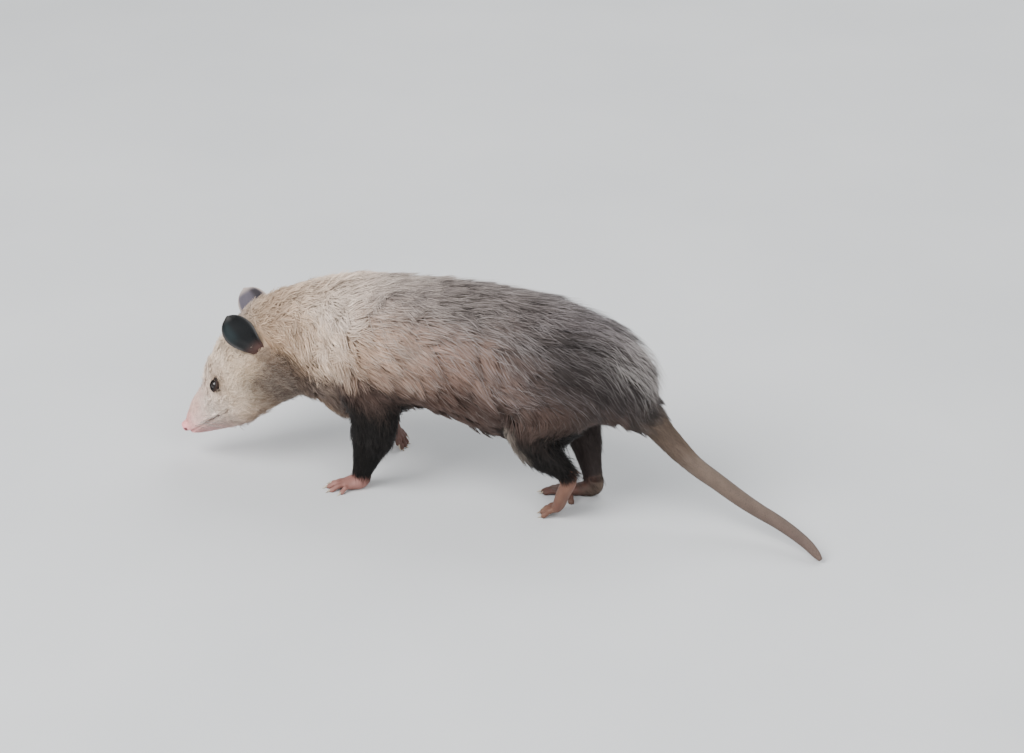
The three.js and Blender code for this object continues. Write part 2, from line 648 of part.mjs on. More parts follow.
// Paws
function toeStations(toe) {
  const root = vector(toe.root);
  let tip;
  if (toe.tip) {
    tip = vector(toe.tip);
  } else {
    const turn = THREE.MathUtils.degToRad(toe.heading);
    tip = root.clone().add(new THREE.Vector3(Math.cos(turn) * toe.length, Math.sin(turn) * toe.length, 0));
    tip.z = toe.thick * 0.38;
  }
  const reach = tip.clone().sub(root);
  const knuckle = root.clone().addScaledVector(reach, 0.42);
  knuckle.z += toe.thick * 0.55;
  const pad = root.clone().addScaledVector(reach, 0.82);
  const inside = root.clone().addScaledVector(reach, -0.28);
  const size = (share) => ({ half: toe.thick * share, top: toe.thick * share * 0.95, bottom: toe.thick * share });
  return [
    { at: inside.toArray(), ...size(0.95) },
    { at: knuckle.toArray(), ...size(0.95) },
    { at: pad.toArray(), ...size(1.0) },
    { at: tip.toArray(), ...size(0.52) },
  ];
}

function clawSolid(toe, length) {
  const stations = toeStations(toe);
  const pad = vector(stations[2].at);
  const tip = vector(stations[3].at);
  const forward = tip.clone().sub(pad).normalize();
  const root = pad.clone().lerp(tip, 0.35).add(new THREE.Vector3(0, 0, toe.thick * 0.35));
  const middle = tip.clone().addScaledVector(forward, length * 0.35).add(new THREE.Vector3(0, 0, 0.3));
  const point = tip.clone().addScaledVector(forward, length);
  point.z = Math.max(point.z - 1, 0.5);
  return solid(
    sweep(
      path([
        { at: root.toArray(), half: 0.9, top: 1.1, bottom: 1.1 },
        { at: middle.toArray(), half: 0.75, top: 0.9, bottom: 0.9 },
        { at: point.toArray(), half: 0.25, top: 0.3, bottom: 0.3 },
      ]),
      { sides: 4, steps: 2 },
    ),
  );
}

for (const [name, paw] of Object.entries(paws)) {
  const palm = solid(sweep(path(paw.palm, paw.face), { sides: 10, steps: 5 }));
  const toes = paw.toes.map((toe) => solid(sweep(path(toeStations(toe)), { sides: 6, steps: 3 })));
  const claws = paw.toes.filter((toe) => !toe.noClaw).map((toe) => clawSolid(toe, paw.claw));
  addNode(name, unite([palm, ...toes, ...claws]).subtract(underFloor).subtract(aboveWrist[paw.leg]), 'pinkSkin');
}

// Tail
const tail = path(tailStations);
const trunkEnd = trunk.frame(trunk.last);
const insideRump = halfSpace(
  trunkEnd.centre.addScaledVector(trunkEnd.along, gap),
  trunkEnd.along.clone().negate(),
);
tailCuts.slice(0, -1).forEach((from, i) => {
  const to = tailCuts[i + 1];
  const made = solid(sweep(tail, { from, to, sides: 11, steps: 5, inset: gap / 18 })).subtract(insideRump);
  addNode(`tail_${i + 1}`, made.subtract(underFloor), 'tailSkin');
});

export default group;
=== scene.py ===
import math
from types import SimpleNamespace
import bmesh
import bpy
import numpy as np
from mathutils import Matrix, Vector
from mathutils.bvhtree import BVHTree
from mathutils.kdtree import KDTree


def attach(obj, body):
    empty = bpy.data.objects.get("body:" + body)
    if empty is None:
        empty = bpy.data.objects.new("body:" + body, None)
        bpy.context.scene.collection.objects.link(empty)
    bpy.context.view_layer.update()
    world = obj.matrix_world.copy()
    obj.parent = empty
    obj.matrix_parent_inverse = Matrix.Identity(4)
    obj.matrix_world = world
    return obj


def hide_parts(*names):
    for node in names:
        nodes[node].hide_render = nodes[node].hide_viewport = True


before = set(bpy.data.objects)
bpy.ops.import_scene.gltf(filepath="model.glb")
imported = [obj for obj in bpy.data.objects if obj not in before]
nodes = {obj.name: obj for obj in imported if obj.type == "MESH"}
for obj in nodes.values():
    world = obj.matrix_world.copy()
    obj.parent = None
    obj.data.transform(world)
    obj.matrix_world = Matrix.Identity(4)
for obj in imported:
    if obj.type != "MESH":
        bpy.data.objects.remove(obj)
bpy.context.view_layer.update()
frameShift = np.array((-137.8, 2.9, 0.0))  # from the body plan's own origin to the frame's, in millimetres
mm = 0.001
print("frame loaded,", len(nodes), "nodes")

# The body plan, in millimetres. A row is x, y, z and half width, then top and bottom where the form isn't
# round, then the depth of the coat on top and underneath where the row is the coat's outside
bodyPlans = {
    "trunk": {
        "coreShare": 0.5,  # of the coat's depth that the skin keeps
        "rows": [
            (-100, -18, 100, 38, 41, 46, 1, 1),
            (-78, -8, 118, 43, 48, 53, 9, 7),
            (-46, 0, 126, 50, 57, 66, 16, 13),
            (-14, 0, 130, 56, 63, 83, 18, 18),
            (22, 0, 133, 60, 63, 71, 19, 9),
            (62, 0, 138, 60, 60, 60, 19, 3),
            (105, 0, 138, 60, 61, 68, 19, 2),
            (145, 0, 134, 61, 64, 75, 20, 3),
            (183, 0, 130, 59, 64, 66, 21, 6),
            (220, 0, 127, 54, 57, 49, 21, 10),
            (246, 0, 118, 41, 45, 36, 20, 12),
            (264, 0, 104.5, 25.5, 24, 24, 13, 9),
            (285, -1, 89.5, 11.5, 11.5, 11.5, 2, 2),
        ],
    },
    "head": {
        "rows": [
            (-168.5, -42.4, 29, 3.8, 3.2, 3.6),
            (-165, -41.5, 30.8, 6.8, 6.6, 6.8),
            (-159, -40.2, 34.5, 9.2, 10.6, 10.2),
            (-149, -37.6, 42, 13.4, 15.6, 16),
            (-138.7, -34.7, 51.6, 19.5, 21.5, 23.5),
            (-126.8, -31, 63.4, 27, 28, 31),
            (-112.2, -25, 83.2, 33.5, 37.5, 39),
            (-98, -17, 100, 38, 42, 45.5),
            (-78, -8, 118, 42, 46, 51),
        ],
    },
    "tail": {
        "rows": [
            (270, -0.4, 99, 11),
            (279, -0.8, 92.4, 10.6),
            (303.4, -2.6, 70.6, 9.3),
            (320.8, -3.8, 57.4, 8.7),
            (341.2, -5, 46.1, 8.1),
            (362.5, -7, 34.8, 7.6),
            (380.7, -10, 27.3, 7.0),
            (398.3, -14, 22, 6.5),
            (414.5, -19.5, 17, 6.0),
            (430.5, -27, 11.6, 5.3),
            (440.5, -33, 6.8, 4.3),
            (446.5, -37, 3.4, 2.4),
        ],
    },
}
legPlans = {  # the CAD nodes from the top down, and the line from the shoulder or hip to the wrist or heel
    "forelegLeft": {
        "nodes": ("foreleg_left_upper_arm", "foreleg_left_forearm", "forepaw_left"),
        "line": [(8, -29, 128, 22), (27, -43, 84, 20), (26, -45, 62, 17), (14, -42.5, 19, 9), (12.5, -42, 12, 8)],
    },
    "forelegRight": {
        "nodes": ("foreleg_right_upper_arm", "foreleg_right_forearm", "forepaw_right"),
        "line": [(6, 29, 128, 22), (14, 43.5, 86, 18), (11, 46, 66, 13), (6, 44.6, 33, 8), (6.4, 44.4, 28, 7)],
    },
    "hindlegLeft": {
        "nodes": ("hindleg_left_thigh", "hindleg_left_shank", "hindfoot_left"),
        "line": [(222, -20, 132, 28), (180, -42, 91, 24), (182, -45, 76, 18), (207, -39, 51, 9), (211, -38, 46, 8)],
    },
    "hindlegRight": {
        "nodes": ("hindleg_right_thigh", "hindleg_right_shank", "hindfoot_right"),
        "line": [(224, 20, 132, 28), (198, 39, 88, 24), (198, 36, 68, 17), (215, 19, 25.5, 9), (217.6, 16, 17, 8)],
    },
}
pawPlans = {  # the palm from the wrist forwards, the way its back faces, and the toes
    "forepaw_left": {
        "palm": [
            (12.3, -42.1, 11.4, 7.4, 8.8, 8.4),
            (10.5, -43, 7.4, 8.8, 6.6, 8.6),
            (4, -46.5, 5.4, 10, 4.8, 6.2),
            (-2, -50, 4.4, 8.8, 3.4, 4.8),
        ],
        "face": (-0.7, -0.45, 0.8),
        "toes": [  # root, heading in degrees and length, or tip and 0, and radius
            ((4, -41, 4), 172, 14, 2.5),
            ((-1.5, -45, 4), 192, 15.5, 2.6),
            ((-3.5, -49.5, 4), 208, 15.5, 2.7),
            ((-1.5, -53.5, 4), 224, 14, 2.6),
            ((4, -54, 4), 248, 11.5, 2.5),
        ],
    },
    "forepaw_right": {
        "palm": [
            (6.5, 44.4, 27.4, 7, 7.2, 7.2),
            (7.6, 44.4, 22.5, 7.8, 5.8, 6.6),
            (10.5, 44.4, 17, 8.4, 4.4, 4.6),
            (13, 44.4, 13, 7.6, 3.4, 3.4),
        ],
        "face": (-1, 0, -0.4),
        "toes": [
            ((11, 38.5, 15), (18, 34, 6), 0, 2.3),
            ((13, 41, 13.5), (20.5, 37.5, 0.4), 0, 2.4),
            ((13.5, 44.5, 13), (21.5, 44.5, 0.4), 0, 2.5),
            ((13, 48, 13.5), (20.5, 51.5, 0.4), 0, 2.4),
            ((11, 50.5, 15), (17.5, 55, 6.5), 0, 2.3),
        ],
    },
    "hindfoot_left": {
        "palm": [
            (211.3, -37.9, 45.4, 7.4, 7.8, 7.8),
            (211.5, -37.6, 38, 8.2, 6.8, 7.6),
            (206.5, -36.2, 25, 9.2, 6.2, 6.4),
            (202, -33.4, 13, 9.9, 5.4, 5.8),
            (199.5, -32.2, 8, 8.6, 4.2, 4.4),
        ],
        "face": (-1, 0, 0.4),
        "toes": [
            ((200.5, -39, 9), 196, 13, 2.9),
            ((199, -34.5, 8), 184, 14.5, 3.1),
            ((199, -29.5, 8), 173, 14, 3.0),
            ((200.5, -25, 9), 161, 12.5, 2.8),
            ((205.5, -27.5, 17), (201, -18.5, 8.5), 0, 3.4),
        ],
    },
    "hindfoot_right": {
        "palm": [
            (217.8, 16, 16.4, 7.6, 8.6, 8.6),
            (217, 15.6, 9.6, 8.2, 7.6, 9.2),
            (206, 12.3, 6.4, 8.8, 5.2, 7),
            (195, 9, 5, 9.8, 4.4, 5.4),
            (188, 7, 4.4, 8.6, 3.4, 4.8),
        ],
        "face": (-0.7, 0, 0.7),
        "toes": [
            ((189, 1, 4), 181, 14.5, 2.7),
            ((188, 5.5, 4), 188, 16.5, 2.9),
            ((188, 10, 4), 195, 15.5, 2.8),
            ((190, 15, 4), 205, 13.5, 2.6),
            ((199, 3, 4.2), -62, 15, 3.2),
        ],
    },
}
toeForm = [  # share of the way from root to pad, lift and size in toe radii
    (-0.28, 0, 0.95),
    (0.15, 0.35, 0.9),
    (0.42, 0.6, 1.02),
    (0.62, 0.3, 0.86),
    (0.84, 0.05, 1.04),
    (1, 0, 0.55),
]
toePadHeight = 0.38  # of a toe's radius
floorGap = {"skin": 0.05, "tufts": 0.1, "claws": 0.05}  # millimetres


def unit(v):
    return v / np.maximum(np.linalg.norm(v, axis=-1, keepdims=True), 1e-9)


def gapTo(points, place):
    return np.linalg.norm(points - place, axis=1)


def ease(low, high, x):  # a smooth step from 0 at low to 1 at high
    t = np.clip((np.asarray(x, float) - low) / (high - low), 0, 1)
    return t * t * (3 - 2 * t)


def bell(x, middle, spread):
    return np.exp(-(((x - middle) / spread) ** 2))


def mix(a, b, share):
    share = np.asarray(share, float)
    wide = np.shape(a)[-1:] == (3,) or np.shape(b)[-1:] == (3,)
    if share.ndim and (wide or np.ndim(a) > share.ndim or np.ndim(b) > share.ndim):
        share = share[..., None]
    return a * (1 - share) + b * share


class Sweep:  # rings round a smooth line, all in millimetres of the frame
    def __init__(self, rows, face=(0, 0, 1), coreShare=1.0):
        rows = [tuple(row) + tuple(row[3:]) * 2 * (len(row) == 4) for row in rows]
        self.rows = np.array([row + (0,) * (8 - len(row)) for row in rows], float)
        self.rows[:, :3] += frameShift
        self.last = len(rows) - 1
        self.face = np.array(face, float)
        self.coreShare = coreShare

    def rowAt(self, u):  # Catmull-Rom through the rows, ends carried straight on
        rows = self.rows
        p = np.vstack([2 * rows[0] - rows[1], rows, 2 * rows[-1] - rows[-2]])
        u = np.clip(np.asarray(u, float), 0, self.last)
        i = np.minimum(u.astype(int), self.last - 1)
        w = (u - i)[..., None]
        a, b, c, d = p[i], p[i + 1], p[i + 2], p[i + 3]
        return 0.5 * (2 * b + (c - a) * w + (2 * a - 5 * b + 4 * c - d) * w**2 + (3 * b - a - 3 * c + d) * w**3)

    def frameAt(self, u, reach=0.02):  # row, and the unit ways along the line, up and to the side
        step = self.rowAt(np.asarray(u) + reach)[..., :3] - self.rowAt(np.asarray(u) - reach)[..., :3]
        along = unit(step)
        up = unit(self.face - along * (along @ self.face)[..., None])
        return self.rowAt(u), along, up, np.cross(along, up)

    def radii(self, row, high):
        depth = row[..., 7] + (row[..., 6] - row[..., 7]) * (1 + high) / 2
        cut = depth * (self.coreShare - 1)
        return row[..., 3] + cut, np.where(high > 0, row[..., 4], row[..., 5]) + cut

    def surface(self, sides, steps):
        u = np.repeat(np.linspace(0, self.last, steps + 1), sides)
        angle = np.tile(np.arange(sides) * 2 * math.pi / sides, steps + 1)
        row, _, up, side = self.frameAt(u)
        wide, tall = self.radii(row, np.cos(angle))
        points = row[:, :3] + up * (np.cos(angle) * tall)[:, None] + side * (np.sin(angle) * wide)[:, None]
        ends = [tuple(range(sides))[::-1], tuple(steps * sides + j for j in range(sides))]
        return points, gridFaces(steps + 1, sides) + ends

    def locate(self, points, samples=140, block=20000):  # station, angle from the top, share of the radius, way
        u = np.linspace(0, self.last, samples)
        centres = self.rowAt(u)[:, :3]
        best = np.zeros(len(points))
        for start in range(0, len(points), block):
            part = points[start : start + block]
            best[start : start + block] = u[((part[:, None] - centres[None]) ** 2).sum(-1).argmin(1)]
        for _ in range(2):
            row, along, up, side = self.frameAt(best)
            speed = np.linalg.norm(self.rowAt(best + 0.05)[:, :3] - self.rowAt(best - 0.05)[:, :3], axis=1) / 0.1
            slide = ((points - row[:, :3]) * along).sum(1) / np.maximum(speed, 4)
            best = np.clip(best + np.clip(slide, -0.3, 0.3), 0, self.last)
        row, along, up, side = self.frameAt(best)
        off = points - row[:, :3]
        high, wide = (off * up).sum(1), (off * side).sum(1)
        half, tall = self.radii(row, np.sign(high))
        return best, np.arctan2(wide / half, high / tall), np.hypot(wide / half, high / tall), along


def gridFaces(rows, columns, around=True, ring=False):  # quads between rows of points, closed around or end to end
    faces = []
    for i in range(rows if ring else rows - 1):
        for j in range(columns if around else columns - 1):
            a, b = i * columns + j, i * columns + (j + 1) % columns
            faces.append(tuple(v % (rows * columns) for v in (a, b, b + columns, a + columns)))
    return faces


trunk, head, tail = (Sweep(**plan) for plan in bodyPlans.values())
legs = {name: Sweep(plan["line"], (-1, 0, 0)) for name, plan in legPlans.items()}
noseAt, crownAt = head.rows[0, :3], head.rows[7, :3]
headAlong = unit(crownAt - noseAt)
headUp = unit(np.array((0, 0, 1)) - headAlong * headAlong[2])
headSide = np.cross(headAlong, headUp)  # towards the animal's left


def onHead(along, side, up):
    return noseAt + headAlong * along + headSide * side + headUp * up


def toeRows(toe):  # from inside the palm over the knuckle to the round pad
    root, goal, length, thick = toe
    root = np.array(root, float)
    if length:
        turn = math.radians(goal)
        tip = root + np.array((math.cos(turn) * length, math.sin(turn) * length, 0))
        tip[2] = thick * toePadHeight
    else:
        tip = np.array(goal, float)
    rows = []
    for share, lift, size in toeForm:
        x, y, z = root + (tip - root) * share
        r = thick * size
        rows.append((x, y, z + lift * thick, r, r * 0.95, r))
    return rows


def addObject(name, data):
    made = bpy.data.objects.new(name, data)
    bpy.context.scene.collection.objects.link(made)
    return made


def makeMesh(name, points, faces, smooth=True):
    mesh = bpy.data.meshes.new(name)
    mesh.from_pydata([tuple(p) for p in np.asarray(points) * mm], [], [tuple(f) for f in faces])
    mesh.validate()
    mesh.update()
    mesh.polygons.foreach_set("use_smooth", [smooth] * len(mesh.polygons))
    return addObject(name, mesh)


def ballMesh(name, centre, radius, segments=24, rings=16):
    points, faces = [centre + np.array((0, 0, radius))], []
    for i in range(1, rings):
        for j in range(segments):
            a, b = math.pi * i / rings, 2 * math.pi * j / segments
            way = (math.sin(a) * math.cos(b), math.sin(a) * math.sin(b), math.cos(a))
            points.append(centre + radius * np.array(way))
    starts = range(1, len(points), segments)  # of each ring
    points.append(centre - np.array((0, 0, radius)))
    for j in range(segments):
        k = (j + 1) % segments
        faces.append((0, 1 + j, 1 + k))
        faces += [(a + j, b + j, b + k, a + k) for a, b in zip(starts, starts[1:])]
        faces.append((starts[-1] + j, len(points) - 1, starts[-1] + k))
    return makeMesh(name, points, faces)


def applyModifiers(made):
    graph = bpy.context.evaluated_depsgraph_get()
    mesh = bpy.data.meshes.new_from_object(made.evaluated_get(graph))
    made.modifiers.clear()
    old = made.data
    made.data = mesh
    bpy.data.meshes.remove(old)
    return made


def addModifier(made, name, kind, **settings):
    modifier = made.modifiers.new(name, kind)
    for key, value in settings.items():
        setattr(modifier, key, value)


def readAll(items, key, width=3, kind=float):  # a value of every vertex, edge or triangle
    out = np.empty(len(items) * width, dtype=kind)
    items.foreach_get(key, out)
    return out.reshape(-1, width)


def paint(mesh, name, colours):  # a linear colour at each vertex
    layer = mesh.color_attributes.new(name, "FLOAT_COLOR", "POINT")
    layer.data.foreach_set("color", np.concatenate([colours, np.ones((len(colours), 1))], 1).ravel())


def settle(piece, finish, slotName, *replaced):  # every piece rides on the one body
    if finish:
        piece.data.materials.append(finish)
    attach(piece, "root")
    if replaced:
        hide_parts(*replaced)
    print(piece.name, len(piece.data.polygons), "faces")


# The skin: one closed surface over the cores of all the fleshy nodes
skinSizes = {
    "voxel": 0.95,  # millimetres
    "swell": 0.3,  # closes the gaps between the nodes
    "smoothing": 6,
    "coatKept": 0.14,  # share of the triangles kept under the long coat
    "furKept": 0.36,  # and under short fur
    "coatZone": (1.6, 11.6),  # stations that the long coat covers
    "coatEdge": 1.12,  # share of the trunk's radius within it
    "faceLength": 84,  # where all triangles are kept, from the nose, from the wrist and up from the floor
    "pawReach": 38,
    "pawHeight": 50,
    "noseTip": ((0.8, 0, 1.9), 3.7),  # place on the head and radius
    "noseWing": ((2.0, 3.2, 0.3), 4.5),
    "cheek": ((66, 17, -14), 19),
}


def headBall(name, sign=0):
    (along, side, up), radius = skinSizes[name]
    return ballMesh(name, onHead(along, sign * side, up), radius)


def nodeCopy(name):
    made = addObject("copyOf_" + name, nodes[name].data.copy())
    addModifier(made, "weld", "WELD", merge_threshold=1e-5)
    addModifier(made, "swell", "DISPLACE", mid_level=0, strength=skinSizes["swell"] * mm)
    return applyModifiers(made)


def joinAll(parts, name):
    points, faces, base = [], [], 0
    for part in parts:
        points.append(readAll(part.data.vertices, "co") / mm)
        faces += [tuple(base + v for v in polygon.vertices) for polygon in part.data.polygons]
        base += len(points[-1])
        bpy.data.objects.remove(part)
    return makeMesh(name, np.vstack(points), faces)


def thinSkin(skin):  # fewer triangles where fur covers them
    points = readAll(skin.data.vertices, "co") / mm
    station, _, ratio, _ = trunk.locate(points)
    start, end = skinSizes["coatZone"]
    underCoat = (station > start) & (station < end) & (ratio < skinSizes["coatEdge"])
    onFace = ((points - noseAt) @ headAlong < skinSizes["faceLength"]) & (station < 0.9)
    wristGap = np.min([gapTo(points, leg.rowAt(leg.last)[:3]) for leg in legs.values()], 0)
    onPaw = (wristGap < skinSizes["pawReach"]) & (points[:, 2] < skinSizes["pawHeight"])
    underFur = ~underCoat & ~(onFace | onPaw)
    for name, zone in (("underCoat", underCoat), ("underFur", underFur)):
        skin.vertex_groups.new(name=name).add([int(i) for i in np.nonzero(zone)[0]], 1, "REPLACE")
    for name, kept in (("underCoat", skinSizes["coatKept"]), ("underFur", skinSizes["furKept"])):
        index = skin.vertex_groups[name].index
        share = np.mean([any(g.group == index for g in v.groups) for v in skin.data.vertices])
        thinned = 1 - share * (1 - kept)
        addModifier(skin, name, "DECIMATE", ratio=thinned, vertex_group=name, use_collapse_triangulate=True)
        applyModifiers(skin)
    skin.vertex_groups.clear()


def buildSkin():
    parts = [makeMesh("core", *trunk.surface(64, 120)), makeMesh("skull", *head.surface(64, 110))]
    parts += [makeMesh("brush", *tail.surface(32, 160)), headBall("noseTip")]
    for sign in (-1, 1):
        parts += [headBall("noseWing", sign), headBall("cheek", sign)]
    for plan in legPlans.values():
        parts += [nodeCopy(name) for name in plan["nodes"][:2]]
    for name, plan in pawPlans.items():
        parts.append(makeMesh(name, *Sweep(plan["palm"], plan["face"]).surface(28, 40)))
        parts += [makeMesh("toe", *Sweep(toeRows(toe)).surface(16, 24)) for toe in plan["toes"]]
    skin = joinAll(parts, "skin")
    voxel = skinSizes["voxel"] * mm
    addModifier(skin, "remesh", "REMESH", mode="VOXEL", voxel_size=voxel, use_smooth_shade=True)
    addModifier(skin, "relax", "SMOOTH", iterations=skinSizes["smoothing"], factor=0.5)
    applyModifiers(skin)
    print("skin remeshed,", len(skin.data.polygons), "faces")
    thinSkin(skin)
    print("skin thinned,", len(skin.data.polygons), "faces")
    return skin


def colourOf(text):  # sRGB hex to linear
    value = np.array([int(text[k : k + 2], 16) for k in (0, 2, 4)]) / 255
    return np.where(value > 0.04045, ((value + 0.055) / 1.055) ** 2.4, value / 12.92)


def colourAlong(x, stops, names):
    table = np.array([colourOf(name) for name in names.split()])
    return np.stack([np.interp(x, stops, table[:, k]) for k in range(3)], -1)


def tint(colour, patch, share=1.0):  # a patch is its colour and how strong it is at most
    return mix(colour, colourOf(patch[0]), patch[1] * share)


def ripple(points, scale, seed, waves=5):  # soft lumps between about -1 and 1
    draw = np.random.default_rng(seed)
    total = np.zeros(len(points))
    for k in range(waves):
        way = unit(draw.normal(size=3)) * (1 + 0.7 * k) / scale
        total += np.sin(points @ way * 2 * math.pi + draw.uniform(0, 6.28)) / (1 + 0.5 * k)
    return total / 2.2


# Colours: sRGB along the trunk's stations, or along the head, tail and legs in millimetres
markings = {
    "stations": [0, 1, 2, 3, 4, 5.5, 8, 10, 11, 12],
    "back": "bca187 ab9078 ccb39d c6b2a2 857a74 5a524f 403937 463f3e 46403e 4d423b",
    "side": "a98c71 a0856c c9ab91 d0b59e b0937f 856b5f 453b38 362e2d 3f3633 4d423b",
    # under: the underside's colours, darker also as painted shade beneath the body
    "under": "836c5c 5a4b43 5c4d45 54443d 5a463e 543f36 3b302c 302826 3a322e 4d423b",
    "tips": "d6bda4 ccb29a edd5bf e8d3c1 c0b1a6 9c918b 80787a 908887 6f6765 5c5048",
    "frost": [0.5, 0.45, 0.65, 0.62, 0.55, 0.42, 0.28, 0.2, 0.14, 0.06],  # share of tufts with pale tips
    "tan": ("84694f", 0.42),
    "cream": ("ead8c8", 0.5),
    # painted shade under the jaw, on the throat
    "throatShade": ("4a3d35", 0.8),
    "haunchShade": 0.5,
}
headColours = {
    "stops": [0, 7, 20, 38, 60, 90, 130],
    "top": "f79ca3 f3a6a4 f5cbbf fbe2d2 fbe0cb ead1b8 ceb59c",
    "side": "f79ca3 f3aca9 f8d2c8 fae3d3 f0d8c2 d8bd9f b29781",
    "under": "f59fa6 efaeac e6b5b2 d2b2a8 ae937f 99806c 8d7765",
    "speckle": ("a98a68", 0.42),
    "rosy": ("e0a196", 0.35),
    "crown": ("8d8082", 0.6),
    "eyeRing": ("a58a74", 0.55),
    "eyeRim": ("17110f", 1),
    # painted shade behind the cheek and under the jaw
    "shadeBehindCheek": ("5a4940", 0.86),
    "tips": ("f3e6d6", 0.32),
    # the dark line between the lips, painted shade in their crease
    "mouth": ("452823", 1),
    # the nostrils' dark red is painted shade in their hollows
    "nostril": ("40201f", 0.9),
}
legColours = {
    "black": "100d0c",
    "upper": "463731",
    # farHind: a paler tint, painted light that lifts the far hind leg out of its shade
    "farHind": ("3f3634", 0.85),
    "streak": ("a3968a", 1),
    "tips": "8b817b",
    "forePad": "966a61",
    # the hind feet's skin, darkened also as painted shade from the legs
    "hindPadAndShade": "745444",
    # painted shade: the far paws are darker than the near ones
    "farForePadShade": ("4a3833", 0.8),
    "farHindPadShade": ("40322d", 0.8),
    "padShade": "653f36",
}
tailColours = {"stops": [0, 30, 70, 150, 215], "names": "54473e 64554a 65554a 5f4e46 715d53", "spacing": 17.5}
furLengths = {  # length, and how far the tips stand off the skin
    "stations": [0, 1, 2, 3, 5, 8, 10, 11, 12],
    "top": [10, 14, 19, 24, 30, 34, 32, 16, 7],
    "under": [9, 12, 15, 16, 12, 13, 16, 13, 7],
    "riseTop": [2.5, 4, 6, 8, 9.5, 10, 7.5, 3, 1.0],
    "riseUnder": [2, 3.5, 6, 7, 2.5, 2.5, 4, 2.5, 1.0],
    "headStops": [3, 12, 40, 75, 110],
    "head": [1.6, 2.8, 5.5, 9, 13],
    "riseHead": [0.3, 0.6, 1.5, 2.6, 3.6],
}
earPlans = {
    "ear_left": {
        "root": (-85, -49.5, 127),
        "up": (-0.64, -0.2, 0.73),
        "open": (0.1, -0.95, 0.25),
        "length": 41,
        # the near ear's teal patch is a painted sheen
        "colours": {"blade": "0c0e10", "rim": "4c4a49", "root": "4a332e", "patchAndSheen": "1c282b", "fur": "94806f"},
        "spotSide": -1,
    },
    "ear_right": {
        "root": (-107, 14, 121),
        "up": (-0.62, 0.36, 0.68),
        "open": (-0.45, 0.88, 0),
        "length": 39,
        # the far ear's patch is a darker inner part of the leaf
        "colours": {"blade": "5d5862", "rim": "bdaea6", "root": "8a746a", "patchAndSheen": "262224", "fur": "998a86"},
        "spotSide": 1,
    },
}
eyeSizes = {"radius": 5.2, "along": 5.5, "side": 0.51, "sunk": 3.3, "tilt": 36}  # tilt in degrees, outer corner up
eyeMarks = {"ring": (14, 9), "rim": (7.6, 4.4), "bare": (6.8, 4.6)}  # half lengths along and across the slit
nostrilPlace = (3.2, 6.4, -0.6)
mouthSizes = {"corner": 62, "slope": -0.066, "lift": -4.3, "depth": 1.5, "width": 1.0}
mouthAlong = unit(headAlong + headUp * mouthSizes["slope"])
mouthDown = unit(np.cross(headSide, mouthAlong))
mouthDown = mouthDown if mouthDown @ headUp < 0 else -mouthDown
mouthAt = onHead(0, 0, mouthSizes["lift"])


def eyePlace(sign):
    row, _, up, side = head.frameAt(eyeSizes["along"])
    angle = sign * math.pi / 2 * eyeSizes["side"]
    wide, tall = head.radii(row, math.cos(angle))
    onSkin = row[:3] + up * math.cos(angle) * tall + side * math.sin(angle) * wide
    outward = unit(onSkin - row[:3])
    return onSkin - outward * eyeSizes["sunk"], outward


eyes = {"eye_left": eyePlace(1), "eye_right": eyePlace(-1)}


def eyeAxes(outward):  # along the slit from the inner corner, and across it
    first = unit(headAlong - outward * (headAlong @ outward))
    second = np.cross(outward, first)
    second = second if second @ headUp > 0 else -second
    tilt = math.radians(eyeSizes["tilt"])
    return first * math.cos(tilt) + second * math.sin(tilt), second * math.cos(tilt) - first * math.sin(tilt)


def aroundEyes(points):  # along and across each slit, out of the eye's middle, and how far from it
    for centre, outward in eyes.values():
        off = points - centre
        slit, lift = eyeAxes(outward)
        yield off @ slit, off @ lift, off @ outward, np.linalg.norm(off, axis=1)


def nearMouth(points):  # place below its line, and back along it from the nose
    return (points - mouthAt) @ mouthDown, (points - mouthAt) @ mouthAlong


def nostrilGaps(points):
    along, side, up = nostrilPlace
    return [gapTo(points, onHead(along, sign * side, up)) for sign in (-1, 1)]


def earFrame(name):  # its root, and the unit ways up the ear, out of its cup and across it
    plan = earPlans[name]
    tall, facing = unit(np.array(plan["up"], float)), np.array(plan["open"], float)
    facing = unit(facing - tall * (facing @ tall))
    return np.array(plan["root"], float) + frameShift, tall, facing, np.cross(tall, facing)


def nearestLeg(points):  # share of its radius, place past its wrist and to its rear, left, fore, and its way
    found = []
    for name, leg in legs.items():
        u, _, share, way = leg.locate(points, 60)
        row = leg.rowAt(u)
        apart = share * row[:, 3]
        rear = (points - row[:, :3])[:, 0] / np.maximum(apart, 1)
        wrist, wristWay, _, _ = leg.frameAt(np.array([leg.last - 0.02]))
        past = (points - wrist[0, :3]) @ wristWay[0]
        isLeft, isFore = (np.full(len(points), float(word in name)) for word in ("Left", "fore"))
        found.append((apart, share, past, rear, isLeft, isFore, *way.T))
    found = np.array(found)
    best = found[found[:, 0].argmin(0), :, np.arange(len(points))]
    return *best[:, 1:6].T, best[:, 6:]


bodyZones = {  # where each part begins and where it is whole
    "head": (1.25, 0.25),  # stations of the trunk
    "tail": (11.35, 11.95),
    "leg": (1.03, 1.2),  # shares of the trunk's radius
    "paw": (-5, 1.5),  # past the wrist or heel
    "bareTail": (22, 52),  # from the root of the tail
    "bareNose": (9, 4),  # from the nose
}


